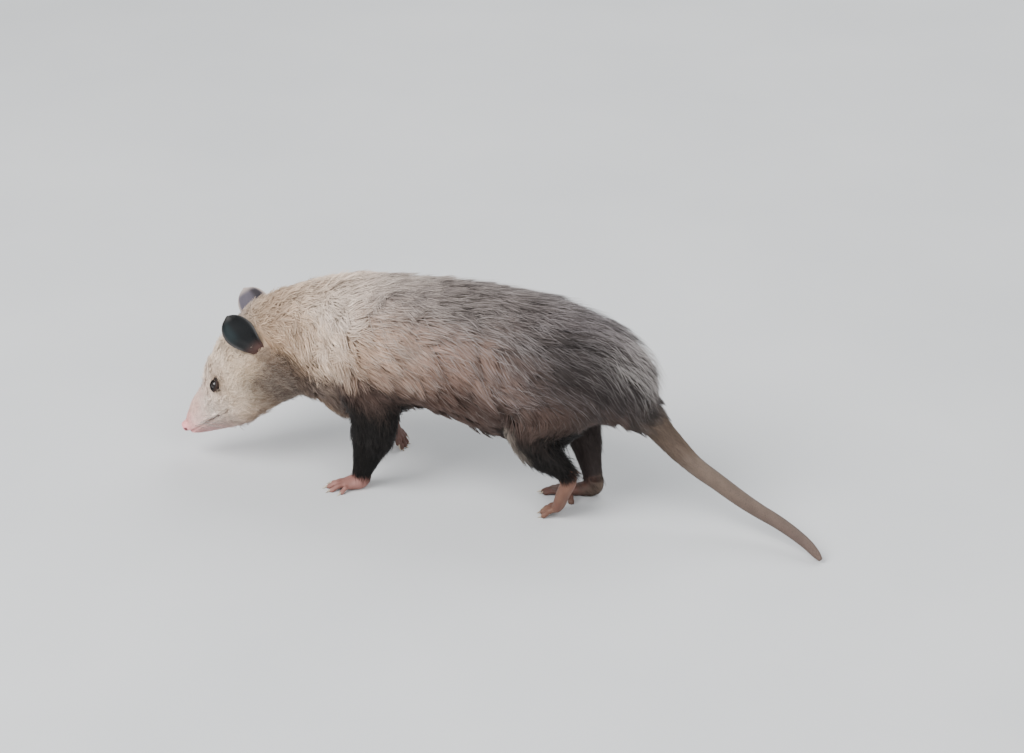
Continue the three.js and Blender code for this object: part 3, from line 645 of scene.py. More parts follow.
def locateBody(points):  # where each point lies on the animal
    zones = bodyZones
    b = SimpleNamespace(points=points, z=points[:, 2])
    b.station, angle, ratio, b.trunkWay = trunk.locate(points)
    _, headAngle, headRatio, _ = head.locate(points)
    tailStation, _, _, b.tailWay = tail.locate(points)
    b.bend, b.headBend, b.tailAlong = np.abs(angle), np.abs(headAngle), tailStation * tailColours["spacing"]
    b.along, b.wide = (points - noseAt) @ headAlong, (points - noseAt) @ headSide
    b.isHead = ease(*zones["head"], b.station) * (headRatio < 2)
    b.isTail = ease(*zones["tail"], b.station)
    b.isLeg = ease(*zones["leg"], ratio) * (1 - b.isHead) * (1 - b.isTail)
    b.legShare, b.pastWrist, b.legRear, b.isLeft, b.isFore, b.legWay = nearestLeg(points)
    b.nearHind, b.farHind = (1 - b.isFore) * b.isLeft, (1 - b.isFore) * (1 - b.isLeft)
    b.paw = b.isLeg * ease(*zones["paw"], b.pastWrist)
    tailSkin = b.isTail * ease(*zones["bareTail"], b.tailAlong)
    b.bare = np.maximum(np.maximum(b.paw, tailSkin), b.isHead * ease(*zones["bareNose"], b.along))
    b.earGaps = {name: gapTo(points, earFrame(name)[0]) for name in earPlans}
    return b


def lieOfCoat(b):
    down = np.array((0, 0, -1.0))
    slip = np.sin(b.bend)[:, None] * mix(1.05, 0.45, ease(2.2, 5, b.station))[:, None]
    lies = (
        (b.trunkWay + down * slip, (1 - b.isHead - b.isTail - b.isLeg).clip(0, 1)),
        (headAlong + headUp * 0.1 - headUp * 0.45 * ease(30, 60, b.along)[:, None], b.isHead),
        (b.legWay + np.array((0.25, 0, 0)), b.isLeg),
        (b.tailWay, b.isTail),
    )
    b.lie = unit(sum(way * share[:, None] for way, share in lies))


def colourTrunk(b):
    m = markings
    back, side, under, tips = (colourAlong(b.station, m["stations"], m[k]) for k in ("back", "side", "under", "tips"))
    turned = b.bend + 0.22 * b.lumps
    # low marks the underside, where the colours carry painted shade
    low = ease(1.42, 1.95, turned)
    colour = mix(mix(back, side, ease(0.55, 1.25, turned)), under, low)
    tan = ease(0.0, 0.8, b.lumps) * ease(0.1, 0.9, b.station) * ease(4.6, 3.2, b.station)
    colour = tint(colour, m["tan"], tan * ease(0.3, 1.1, b.bend))
    cream = ease(0.1, 0.9, -b.lumps + 0.4 * b.fine) * ease(1.4, 2.2, b.station) * ease(5.5, 4.0, b.station)
    colour = tint(colour, m["cream"], cream * ease(1.6, 1.1, b.bend))
    # painted shade under the jaw, on the throat
    throatShade = ease(0.1, 0.7, b.station) * ease(1.8, 1.0, b.station) * ease(1.25, 1.8, turned)
    colour = tint(colour, m["throatShade"], throatShade)
    # painted shade: on the underside and the throat the tips stay close to the darker colour
    tips = mix(tips, colour * 1.3, 0.7 * np.maximum(low, throatShade))
    b.haunch = ease(6.6, 8.4, b.station) * ease(0.2, 0.65, b.bend) * mix(1, 0.25, ease(1.15, 1.6, b.bend))
    return colour, mix(tips, colour * 1.6, 0.55 * b.haunch)


def colourHead(b):
    h = headColours
    top, cheek, jaw = (colourAlong(b.along, h["stops"], h[k]) for k in ("top", "side", "under"))
    face = mix(mix(top, cheek, ease(0.45, 1.2, b.headBend)), jaw, ease(1.6, 2.3, b.headBend))
    small = ripple(b.points, 9, 12)
    face = tint(face, h["speckle"], ease(-0.1, 0.9, b.fine + 0.5 * small) * ease(42, 66, b.along))
    face = face * (1 + 0.16 * small * ease(20, 45, b.along))[:, None]
    face = tint(face, h["rosy"], ease(66, 30, b.along) * ease(1.2, 0.3, b.headBend + 0.2 * b.fine))
    face = tint(face, h["crown"], bell(gapTo(b.points, onHead(118, -6, 44)), 0, 20))
    for across, up, _, gap in aroundEyes(b.points):
        ring, rim = (np.hypot(across / eyeMarks[k][0], up / eyeMarks[k][1]) for k in ("ring", "rim"))
        face = tint(face, h["eyeRing"], ease(16, 11, gap) * ease(1.1, 0.6, ring))
        face = tint(face, h["eyeRim"], ease(16, 11, gap) * ease(1.15, 0.8, rim))
    # painted shade behind the cheek and under the jaw
    face = tint(face, h["shadeBehindCheek"], ease(72, 92, b.along) * ease(1.15, 1.6, b.headBend + 0.15 * b.lumps))
    return face, tint(face, h["tips"])


def colourLegs(b):
    c = legColours
    dark = mix(ease(104, 82, b.z + 6 * b.fine), ease(104, 84, b.z + 6 * b.fine), b.isFore)
    leg = mix(colourOf(c["upper"]), colourOf(c["black"]), dark)
    # painted light: the far hind leg is lifted above its black, out of its shade
    leg = tint(leg, c["farHind"], b.farHind * ease(120, 90, b.z))
    frontEdge = (b.points - frameShift)[:, 0] + 0.5 * (b.z - 80)
    streak = ease(9, 4, np.abs(frontEdge - 163 + 3 * b.fine)) * ease(58, 68, b.z)
    wisp = ease(2.4, 0.8, np.abs(frontEdge - 209 + 2 * b.fine)) * ease(74, 82, b.z)
    leg = tint(leg, c["streak"], b.nearHind * ease(104, 92, b.z) * np.maximum(0.45 * streak, 0.5 * wisp))
    # the hind feet's colour holds painted shade from the legs as well as their skin
    pad = mix(colourOf(c["hindPadAndShade"]), colourOf(c["forePad"]), b.isFore * b.isLeft)
    # painted shade on the far forepaw and on the far hind foot's toes
    pad = tint(pad, c["farForePadShade"], b.isFore * (1 - b.isLeft))
    pad = tint(pad, c["farHindPadShade"], b.farHind * ease(26, 8, b.pastWrist))
    return leg, mix(pad, colourOf(c["padShade"]), (0.3 + 0.3 * b.fine).clip(0, 1))


def colourCoat(b):
    b.lumps, b.fine = ripple(b.points, 62, 3), ripple(b.points, 21, 8)
    colour, tips = colourTrunk(b)
    face, faceTips = colourHead(b)
    leg, pad = colourLegs(b)
    reach = mix(ease(142, 112, b.z + 8 * b.lumps), ease(130, 108, b.z + 5 * b.lumps), b.isFore)
    b.nearLeg = ease(1.75, 1.2, b.legShare) * reach * (1 - b.isHead) * (1 - b.isTail)
    colour, tips = mix(colour, face, b.isHead), mix(tips, faceTips, b.isHead)
    colour = mix(colour, leg, np.maximum(b.nearLeg, b.isLeg * ease(134, 110, b.z)))
    for paler, share in ((0.1, b.nearLeg), (0.06, b.isLeg)):
        tips = mix(tips, tint(leg, (legColours["tips"], paler)), share)
    colour = mix(colour, pad, b.paw)
    tailColour = colourAlong(b.tailAlong, tailColours["stops"], tailColours["names"])
    colour = mix(colour, tailColour * (1 + 0.1 * b.fine)[:, None], b.isTail)
    tips = mix(tips, tailColour * 1.1, b.isTail)
    shade = 1 - markings["haunchShade"] * (b.haunch * (1 - b.isTail) * (1 - b.nearLeg))[:, None]
    b.colour, b.tips = np.clip(colour * shade, 0, 1), np.clip(tips * shade, 0, 1)
    for name, gap in b.earGaps.items():
        fur = (earPlans[name]["colours"]["fur"], 0.6)
        b.colour, b.tips = (tint(old, fur, ease(14, 7, gap)) for old in (b.colour, b.tips))


def measureCoat(b):  # length, stand of the tips, share of pale tips, and the room under the fur
    f = furLengths
    low = ease(1.5, 2.5, b.bend)
    top, under, riseTop, riseUnder = (
        np.interp(b.station, f["stations"], f[key]) for key in ("top", "under", "riseTop", "riseUnder")
    )
    jowl = bell(b.along, 78, 24) * ease(0.9, 1.6, b.headBend)
    headLength = np.interp(b.along, f["headStops"], f["head"]) + 5 * jowl
    headRise = np.interp(b.along, f["headStops"], f["riseHead"]) + 1.5 * jowl
    ragged = ease(0.1, 0.8, b.legRear) * ease(38, 60, b.z) * ease(100, 80, b.z)
    legLength = mix(6.5, 15, ease(22, 80, b.z)) + (4 + 4 * b.nearHind) * ragged
    legRise = mix(1.3, 3.4, ease(22, 80, b.z)) + (1.5 + 3.5 * b.nearHind) * ragged
    tailFur = ease(50, 8, b.tailAlong)
    length = mix(mix(mix(top, under, low), headLength, b.isHead), legLength, b.isLeg)
    rise = mix(mix(mix(riseTop, riseUnder, low), headRise, b.isHead), legRise, b.isLeg)
    length, rise = mix(length, 5 + 11 * tailFur, b.isTail), mix(rise, 0.5 + 1.1 * tailFur, b.isTail)
    length = length * (1 - 0.4 * ease(1.75, 1.2, b.legShare) * ease(120, 92, b.z) * (1 - b.isLeg))
    b.frost = np.interp(b.station, markings["stations"], markings["frost"]) * (1 - 0.8 * b.nearLeg)
    b.inset = rise * np.maximum(b.isHead, b.isLeg) * 0.8 * (1 - b.bare) + 0.35 * b.bare * (1 - b.paw)
    b.wool = ease(6.0, 3.0, b.station) * (1 - b.isLeg)
    nearEar = np.max([ease(20, 10, gap) for gap in b.earGaps.values()], 0)
    flat = 1 - 0.5 * ease(42, 58, b.points[:, 1])  # the far flank stays within the model's width
    b.length, b.rise = length * (1 - 0.6 * nearEar), rise * (1 - 0.7 * nearEar) * flat


def readBody(points):
    b = locateBody(points)
    for step in (lieOfCoat, colourCoat, measureCoat):
        step(b)
    return b


faceForms = {  # how far the skin moves at each form of the face, in millimetres
    "noseBack": 2.8,
    "lip": 0.45,
    "whiskerPad": 1.1,
    "cheekHollow": 1.6,
    "nostril": 2.0,
    "bridge": 2.6,
    "noseEdge": 0.9,
    "noseCrease": 0.9,
    "eyelid": 0.35,
    "eyeSocket": 2.2,
}


def shapeFace(points, normals):
    f, m = faceForms, mouthSizes
    points = points + headAlong * (f["noseBack"] * ease(10, -2, (points - noseAt) @ headAlong))[:, None]
    along, wide, high = ((points - noseAt) @ way for way in (headAlong, headSide, headUp))
    level, reach = nearMouth(points)
    inMouth = ease(-4, -1, reach) * ease(m["corner"] + 1, m["corner"] - 5, reach)
    back = np.clip(reach / m["corner"], 0, 1)
    groove = bell(level, 0, m["width"] + 0.8 * back)
    lip = np.exp(-(((np.abs(level) - 2.6 - back) / 1.7) ** 2))
    move = inMouth * (f["lip"] * lip - (m["depth"] + 0.8 * back) * groove)
    pad = bell(along, 17, 9) * ease(2, 7, np.abs(wide)) * ease(3.5, 0, level)
    move = move + f["whiskerPad"] * pad * ease(-9, -3, level)
    move = move - f["cheekHollow"] * (bell(along, 36, 9) * ease(5, 12, np.abs(wide)) * ease(-2, -8, level))
    for gap in nostrilGaps(points):
        move = move - f["nostril"] * bell(gap, 0, 1.7)
    bridge = bell(along, 27, 13) * ease(3, 11, high) * ease(15, 5, np.abs(wide))
    move = move + f["bridge"] * bridge - f["noseEdge"] * bell(along, 9.5, 2.4) * ease(0, 5, high)
    move = move - f["noseCrease"] * (bell(wide, 0, 1.0) * ease(3, -1, along) * ease(4, -1, high))
    for across, up, depth, _ in aroundEyes(points):
        oval = np.hypot(across, up * 1.6)
        move = move + f["eyelid"] * (bell(oval, 6.2, 1.6) * (depth > 0))
        move = move - f["eyeSocket"] * np.exp(-((oval / 5.0) ** 4)) * (depth > 0)
    return points + normals * (move * (along < 120))[:, None]


lieRounds = 12


def dressSkin(skin):
    mesh = skin.data
    points, normals = readAll(mesh.vertices, "co") / mm, readAll(mesh.vertex_normals, "vector")
    b = readBody(points)
    points = shapeFace(points - normals * b.inset[:, None], normals)
    points[:, 2] = np.maximum(points[:, 2], floorGap["skin"])
    mesh.vertices.foreach_set("co", (points * mm).ravel())
    mesh.update()
    b.points, b.normals = points, readAll(mesh.vertex_normals, "vector")
    lie = unit(b.lie - b.normals * (b.lie * b.normals).sum(1)[:, None])
    first, second = readAll(mesh.edges, "vertices", 2, np.int32).T
    for _ in range(lieRounds):  # neighbours agree on the lie
        total = lie.copy()
        for k in range(3):
            total[:, k] += np.bincount(first, lie[second, k], len(lie)) + np.bincount(second, lie[first, k], len(lie))
        lie = unit(total - b.normals * (total * b.normals).sum(1)[:, None])
    b.lie = lie
    corner = mouthSizes["corner"]
    level, reach = nearMouth(points)
    # painted shade: a dark line along the crease between the lips
    line = bell(level, 0, 1.4 + 1.6 * (reach / corner).clip(0, 1)) * ease(-3, 1, reach)
    line = line * ease(corner + 2, corner - 4, reach) * (0.4 + 0.58 * ease(18, 40, reach))
    colour = tint(b.colour, headColours["mouth"], line * b.isHead)
    # painted shade in the nostril hollows
    for gap in nostrilGaps(points):
        colour = tint(colour, headColours["nostril"], ease(2.6, 1.4, gap))
    paint(mesh, "skinColour", colour)
    for name, values in (("bare", b.bare), ("scaly", b.isTail * b.bare)):
        mesh.attributes.new(name, "FLOAT", "POINT").data.foreach_set("value", values.astype(np.float32))
    return b


skin = buildSkin()
body = dressSkin(skin)
print("skin dressed")

skin.data.calc_loop_triangles()
skinTriangles = readAll(skin.data.loop_triangles, "vertices", 3, np.int32)
skinTree = BVHTree.FromPolygons([tuple(p) for p in body.points], skinTriangles.tolist())

# The coat: tapered tufts that lie over the skin, in long locks on the body and short on face and legs.
# A plan's seed draws its roots, and the next ones draw the rest
coatPlans = {
    "longCoat": {
        "count": 64000,
        "seed": 5,
        "width": (0.7, 1.2),
        "lockApart": 9.5,
        "lockPull": (0.32, 0.7),
        "length": 1.0,
        "rise": 1.0,
        "wander": 0.17,
        "neckEnd": 2.6,  # stations where the coat's pieces meet
        "rumpStart": 7.6,
    },
    "guardHairs": {
        "count": 4600,
        "seed": 15,
        "width": 0.4,
        "lockApart": 9.5,
        "lockPull": (0.2, 0.3),
        "length": 1.2,
        "rise": 1.25,
        "wander": 0.22,
    },
    "shortFur": {"count": 100000, "seed": 25, "width": 0.55},
    "coatCrown": {"count": 17000, "seed": 45, "slot": "face_fur"},
    "coatLegs": {"count": 12500, "seed": 55, "slot": "dark_fur"},
}
fluffyPlan = {  # of the crown and the upper legs
    "width": (0.5, 0.85),
    "lockApart": 5.5,
    "lockPull": (0.2, 0.5),
    "length": 1.15,
    "rise": 1.25,
    "wander": 0.24,
}
coatSizes = {"sunk": 0.6, "shortSunk": 0.35, "quickShare": 0.35}
tuftForms = {  # faces between a tuft's corners, and the corners' places on its patch of OFBake
    "long": {
        "faces": [
            (0, 1, 4), (0, 4, 3), (1, 2, 5), (1, 5, 4), (2, 0, 3),
            (2, 3, 5), (3, 4, 6), (4, 5, 6), (5, 3, 6), (0, 2, 1),
        ],
        "patch": [(0, 0), (1, 0), (0.5, 0.1), (0.05, 0.5), (0.95, 0.5), (0.5, 0.6), (0.5, 1)],
    },
    "short": {"faces": [(0, 1, 3), (1, 2, 3), (2, 0, 3), (0, 2, 1)], "patch": [(0, 0), (1, 0), (0.5, 0.1), (0.5, 1)]},
}
bakeTiles = {  # corner, width and height on the coat's own unwrap
    "trunk": (0.01, 0.01, 0.6, 0.6),
    "head": (0.01, 0.63, 0.6, 0.36),
    "tail": (0.63, 0.01, 0.36, 0.16),
    "forelegLeft": (0.63, 0.19, 0.36, 0.18),
    "forelegRight": (0.63, 0.39, 0.36, 0.18),
    "hindlegLeft": (0.63, 0.59, 0.36, 0.18),
    "hindlegRight": (0.63, 0.79, 0.36, 0.18),
}
patchSize = 0.003


class Roots:  # places on the skin's triangles, and what the body is like there
    def __init__(self, corners, shares):
        self.corners, self.shares, self.count = corners, shares, len(corners)

    def read(self, field):
        values = getattr(body, field)[self.corners]
        return (values * (self.shares[..., None] if values.ndim == 3 else self.shares)).sum(1)


def scatter(plan, weight):  # roots on the skin, more where the weight is higher
    draw = np.random.default_rng(plan["seed"])
    a, b, c = (body.points[skinTriangles[:, k]] for k in range(3))
    area = np.linalg.norm(np.cross(b - a, c - a), axis=1) / 2
    sums = np.cumsum(area * weight[skinTriangles].mean(1))
    count = int(plan["count"] * (1))
    picks = np.searchsorted(sums, (np.arange(count) + draw.random(count)) / count * sums[-1]).clip(0, len(sums) - 1)
    r, s = draw.random((2, count))
    flip = r + s > 1
    r, s = np.where(flip, 1 - r, r), np.where(flip, 1 - s, s)
    return Roots(skinTriangles[picks], np.stack([1 - r - s, r, s], 1))


def overSkin(points):  # nearest place on the skin, its soft normal and the lie there
    found = [skinTree.find_nearest(p) for p in points]
    at = np.array([place for place, _, _, _ in found])
    corners = skinTriangles[[index for _, _, index, _ in found]]
    gap = np.linalg.norm(body.points[corners] - at[:, None], axis=2) + 0.05
    near = Roots(corners, (1 / gap) / (1 / gap).sum(1)[:, None])
    return at, unit(near.read("normals")), unit(near.read("lie"))


def turnedBy(vectors, normals, angle):
    return vectors * np.cos(angle)[:, None] + np.cross(normals, vectors) * np.sin(angle)[:, None]


def growLong(roots, seed, lengthShare, riseShare, wander):  # root, middle and tip of each tuft
    draw = np.random.default_rng(seed)
    t = SimpleNamespace(root=roots.read("points"), normal=unit(roots.read("normals")), wool=roots.read("wool"))
    length, rise = roots.read("length") * lengthShare, roots.read("rise") * riseShare
    drift = 0.24 * ripple(t.root, 34, 21) + 0.45 * t.wool * ripple(t.root, 19, 22)
    drift = drift + draw.normal(0, wander, roots.count) * (1 + 1.5 * t.wool)
    lie = turnedBy(unit(roots.read("lie")), t.normal, drift)
    length = length * draw.uniform(0.72, 1.12, roots.count)
    t.layer = draw.beta(1.9, 1.2, roots.count)  # some tufts lie deep, most near the top
    rise = rise * (0.25 + 0.95 * t.layer)
    middle, t.midNormal, midLie = overSkin(t.root + lie * (0.48 * length)[:, None])
    midLie = turnedBy(midLie, t.midNormal, drift)
    tip, t.tipNormal, _ = overSkin(middle + midLie * (0.52 * length)[:, None])
    stray = t.wool[:, None] * draw.normal(0, 1, (2, roots.count, 3))
    t.middle = middle + t.midNormal * (0.72 * rise)[:, None] + 0.7 * stray[0]
    t.tip = tip + t.tipNormal * rise[:, None] + 1.4 * stray[1]
    return t


def clump(t, apart, pull, seed):  # tips drawn together into locks
    draw = np.random.default_rng(seed)
    taken, guides = set(), []
    for i in draw.permutation(len(t.root)):
        cell = tuple((t.root[i] // apart).astype(int))
        if cell not in taken:
            taken.add(cell)
            guides.append(i)
    tree = KDTree(len(guides))
    for k, i in enumerate(guides):
        tree.insert(t.root[i], k)
    tree.balance()
    mine = np.array([tree.find(p)[1] for p in t.root])
    lift, t.shade = draw.normal(0, 1, len(guides))[mine], draw.normal(0, 1, len(guides))[mine]
    own = np.array(guides)[mine]
    offset, hold = t.root - t.root[own], 1 - 0.15 * t.wool
    t.middle = mix(t.middle, t.middle[own] + offset * 0.85, pull[0] * hold)
    t.tip = mix(t.tip, t.tip[own] + offset * 0.3, pull[1] * hold)
    t.tip = t.tip + t.tipNormal * (1.7 * lift)[:, None]
    t.middle = t.middle + t.midNormal * (0.8 * lift)[:, None]


def growLocks(plan, roots, extraRise=0.0):  # the tufts, and the draw that their colours go on with
    seed = plan["seed"]
    tufts = growLong(roots, seed + 1, plan["length"], plan["rise"] + extraRise, plan["wander"])
    clump(tufts, plan["lockApart"], plan["lockPull"], seed + 2)
    return tufts, np.random.default_rng(seed + 3)


def longPlaces(t, width):  # corners and soft normals of flat tapered tufts, three at the root, three in the middle
    across = unit(np.cross(t.normal, t.middle - t.root))
    midAcross = unit(np.cross(t.midNormal, t.tip - t.root))
    half = (width / 2)[:, None]
    base = t.root - t.normal * coatSizes["sunk"]
    spread = midAcross * half * 0.85
    places = [base - across * half, base + across * half, base + t.normal * half]
    places += [t.middle - spread, t.middle + spread, t.middle + t.midNormal * half * 0.7, t.tip]
    side = 0.35
    normals = [t.normal - across * side, t.normal + across * side, t.normal]
    normals += [t.midNormal - midAcross * side, t.midNormal + midAcross * side, t.midNormal, t.tipNormal]
    return np.stack(places, 1), np.stack(normals, 1)


def partOfRoots(roots):  # which tile of the unwrap each root is on
    names = list(bakeTiles)
    part = np.zeros(roots.count, dtype=int)
    part[roots.read("isHead") > 0.5] = names.index("head")
    part[roots.read("isTail") > 0.5] = names.index("tail")
    points, onLeg = roots.read("points"), roots.read("isLeg") > 0.5
    nearest = np.argmin([leg.locate(points, 30)[2] for leg in legs.values()], 0)
    for k, name in enumerate(legs):
        part[onLeg & (nearest == k)] = names.index(name)
    return part


def bakePlaces(roots, part):  # place of each root on the unwrap of the body's own shape
    points, places = roots.read("points"), np.zeros((roots.count, 2))
    sweeps = dict(trunk=trunk, head=head, tail=tail, **legs)
    for k, (name, (x, y, wide, tall)) in enumerate(bakeTiles.items()):
        mine = np.nonzero(part == k)[0]
        if len(mine):
            station, angle, _, _ = sweeps[name].locate(points[mine], 60)
            places[mine, 0] = x + wide * station / sweeps[name].last
            places[mine, 1] = y + tall * (angle / (2 * math.pi) + 0.5)
    return places


def tuftMesh(name, faces, places, normals, colours, patches):
    count, corners = places.shape[:2]
    mesh = bpy.data.meshes.new(name)
    vertices = places.reshape(-1, 3)
    vertices[:, 2] = np.maximum(vertices[:, 2], floorGap["tufts"])
    index = (np.array(faces)[None] + (np.arange(count) * corners)[:, None, None]).reshape(-1)
    mesh.vertices.add(len(vertices))
    mesh.vertices.foreach_set("co", (vertices * mm).ravel())
    mesh.loops.add(len(index))
    mesh.loops.foreach_set("vertex_index", index)
    mesh.polygons.add(len(index) // 3)
    mesh.polygons.foreach_set("loop_start", np.arange(0, len(index), 3))
    mesh.polygons.foreach_set("use_smooth", np.ones(len(index) // 3, dtype=bool))
    mesh.update(calc_edges=True)
    layer = mesh.uv_layers.new(name="OFBake")
    layer.data.foreach_set("uv", patches.reshape(-1, 2)[index].ravel())
    paint(mesh, "furColour", colours.reshape(-1, 3))
    mesh.normals_split_custom_set_from_vertices(unit(normals.reshape(-1, 3)))
    return addObject(name, mesh)


def makeCoat(pieces, form, finish, roots, places, normals, colours, part=None):  # a piece has its tufts and a slot name
    part = partOfRoots(roots) if part is None else part
    corners = (np.array(tuftForms[form]["patch"]) - 0.5)[None] * patchSize
    patches = bakePlaces(roots, part)[:, None] + corners
    colours = colours.clip(0, 1)
    for name, (mine, slotName) in pieces.items():
        given = (values[mine] for values in (places, normals, colours, patches))
        settle(tuftMesh(name, tuftForms[form]["faces"], *given), finish, slotName)


class Wire:  # a socket that takes part in sums
    def __init__(self, tree, socket):
        self.tree, self.socket = tree, socket

    def sum(self, operation, first, second):
        return NodeMaker(self.tree).node("ShaderNodeMath", {"operation": operation}, {0: first, 1: second})

    def __add__(self, other):
        return self.sum("ADD", self, other)

    def __radd__(self, other):
        return self.sum("ADD", other, self)

    def __sub__(self, other):
        return self.sum("SUBTRACT", self, other)

    def __rsub__(self, other):
        return self.sum("SUBTRACT", other, self)

    def __mul__(self, other):
        return self.sum("MULTIPLY", self, other)

    def __rmul__(self, other):
        return self.sum("MULTIPLY", other, self)


class NodeMaker:  # any node of a tree, from its type, its settings and what its sockets are given
    def __init__(self, tree):
        self.tree = tree

    def node(self, kind, settings=None, inputs=None, output=0):
        made = self.tree.nodes.new(kind)
        for key, value in (settings or {}).items():
            if key == "stops":
                for stop, (place, colour) in zip(made.color_ramp.elements, value):
                    stop.position, stop.color = place, colour
            else:
                setattr(made, key, value)
        for key, value in (inputs or {}).items():
            if isinstance(value, Wire):
                self.tree.links.new(value.socket, made.inputs[key])
            else:
                made.inputs[key].default_value = value
        return Wire(self.tree, made.outputs[output])


class Finish(NodeMaker):  # one material, whose patterns lie on Object coordinates
    def __init__(self, name, **constants):
        self.material = bpy.data.materials.new(name)
        self.material.use_nodes = True
        super().__init__(self.material.node_tree)
        self.shader = self.tree.nodes["Principled BSDF"]
        for key, value in constants.items():
            self.shader.inputs[key.replace("_", " ")].default_value = value
        self.place = self.node("ShaderNodeTexCoord", output=3)

    def feed(self, name, wire):
        self.tree.links.new(wire.socket, self.shader.inputs[name])

    def noise(self, scale, detail):
        return self.node("ShaderNodeTexNoise", {}, {"Vector": self.place, "Scale": scale, "Detail": detail})

    def painted(self, attribute, tone):  # the colour at the vertices, made darker and lighter by the tone
        colour = self.node("ShaderNodeAttribute", {"attribute_name": attribute})
        grey = self.node("ShaderNodeCombineColor", {}, {0: tone, 1: tone, 2: tone})
        settings = {"data_type": "RGBA", "blend_type": "MULTIPLY"}
        self.feed("Base Color", self.node("ShaderNodeMix", settings, {0: 1.0, 6: colour, 7: grey}, 2))

    def ramped(self, share, *stops):  # a colour between two stops
        self.feed("Base Color", self.node("ShaderNodeValToRGB", {"stops": stops}, {0: share}))

    def raised(self, height, strength, distance):
        inputs = {"Height": height, "Strength": strength, "Distance": distance}
        self.feed("Normal", self.node("ShaderNodeBump", {}, inputs))


def furFinish(name, roughness, sheen):
    finish = Finish(name, Sheen_Weight=sheen, Sheen_Roughness=0.5, Specular_IOR_Level=0.2)
    patches, strands = finish.noise(45.0, 3.0), finish.noise(900.0, 1.0)
    finish.painted("furColour", 0.8 + patches * 0.22 + strands * 0.2)
    finish.feed("Roughness", roughness - 0.08 + patches * 0.16)
    return finish.material


def skinFinish(name):
    finish = Finish(name, Specular_IOR_Level=0.4)
    bare, scaly = (finish.node("ShaderNodeAttribute", {"attribute_name": key}, output=2) for key in ("bare", "scaly"))
    mottle, blotch = finish.noise(260.0, 4.0), finish.noise(60.0, 2.0)
    inputs = {"Vector": finish.place, "Scale": 620.0}
    scales = finish.node("ShaderNodeTexVoronoi", {"feature": "DISTANCE_TO_EDGE"}, inputs)
    edges = finish.node("ShaderNodeMapRange", {}, {0: scales, 1: 0.0, 2: 0.12, 3: 0.0, 4: 1.0})
    finish.painted("skinColour", 0.84 + mottle * 0.2 + blotch * 0.16 - scaly * (1 - edges) * 0.3)
    finish.feed("Roughness", 0.78 - bare * 0.22 + mottle * 0.1)
    finish.raised(mottle * 0.35 + scaly * edges * 0.9, 0.6, 0.0005)
    return finish.material


def earFinish(name):
    finish = Finish(name, Specular_IOR_Level=0.28)
    mottle, fine = finish.noise(180.0, 4.0), finish.noise(1400.0, 2.0)
    finish.painted("skinColour", 0.78 + mottle * 0.4)
    finish.feed("Roughness", 0.5 + mottle * 0.2)
    finish.raised(mottle * 0.7 + fine * 0.3, 0.4, 0.0006)
    return finish.material


def eyeFinish(name):
    finish = Finish(name, Coat_Weight=0.35, Coat_Roughness=0.03, Specular_IOR_Level=0.35)
    mottle = finish.noise(500.0, 3.0)
    finish.ramped(mottle, (0.3, (0.004, 0.003, 0.003, 1)), (0.8, (0.02, 0.011, 0.008, 1)))
    finish.feed("Roughness", 0.07 + mottle * 0.05)
    return finish.material


def hornFinish(name, dark, pale):
    finish = Finish(name, Specular_IOR_Level=0.4)
    streaks = finish.noise(300.0, 3.0)
    finish.ramped(streaks, (0.35, (*colourOf(dark), 1)), (0.7, (*colourOf(pale), 1)))
    finish.feed("Roughness", 0.3 + streaks * 0.25)
    return finish.material


def floorFinish(name):
    finish = Finish(name, Specular_IOR_Level=0.3)
    cloud = finish.noise(3.0, 4.0)
    finish.ramped(cloud, (0.3, (0.60, 0.61, 0.62, 1)), (0.7, (0.66, 0.665, 0.67, 1)))
    finish.feed("Roughness", 0.82 + cloud * 0.1)
    return finish.material


coatFinish = furFinish("opossumLongCoat", 0.62, 0.06)
shortFinish = furFinish("opossumShortFur", 0.68, 0.04)
fleshFinish = skinFinish("opossumSkin")

earClearing = {"below": -2.5, "above": 22, "beside": 13.5, "behind": 4, "thick": 13}  # about each ear, millimetres


def clearOfEars(points):  # where no ear leaf covers the skin
    clear, e = np.ones(len(points), dtype=bool), earClearing
    for name in earPlans:
        base, tall, facing, across = earFrame(name)
        off = points - base
        level = (off @ tall > e["below"]) & (off @ tall < e["above"])
        clear &= ~(level & (np.abs(off @ across) < e["beside"]) & (np.abs(off @ facing + e["behind"]) < e["thick"]))
    return clear


def tuftTone(draw, tufts, count, locks):  # each lock and each tuft is a little darker or paler
    return (1 + locks * tufts.shade + draw.normal(0, 0.08, count)).clip(0.6, 1.5)[:, None]


# a tuft's colours at its three root corners, three middle corners and tip; the darker roots and middles given to it
# are painted shade deep in the coat
def tuftColours(root, middle, tip):
    return np.stack([root] * 3 + [middle] * 3 + [tip], 1)


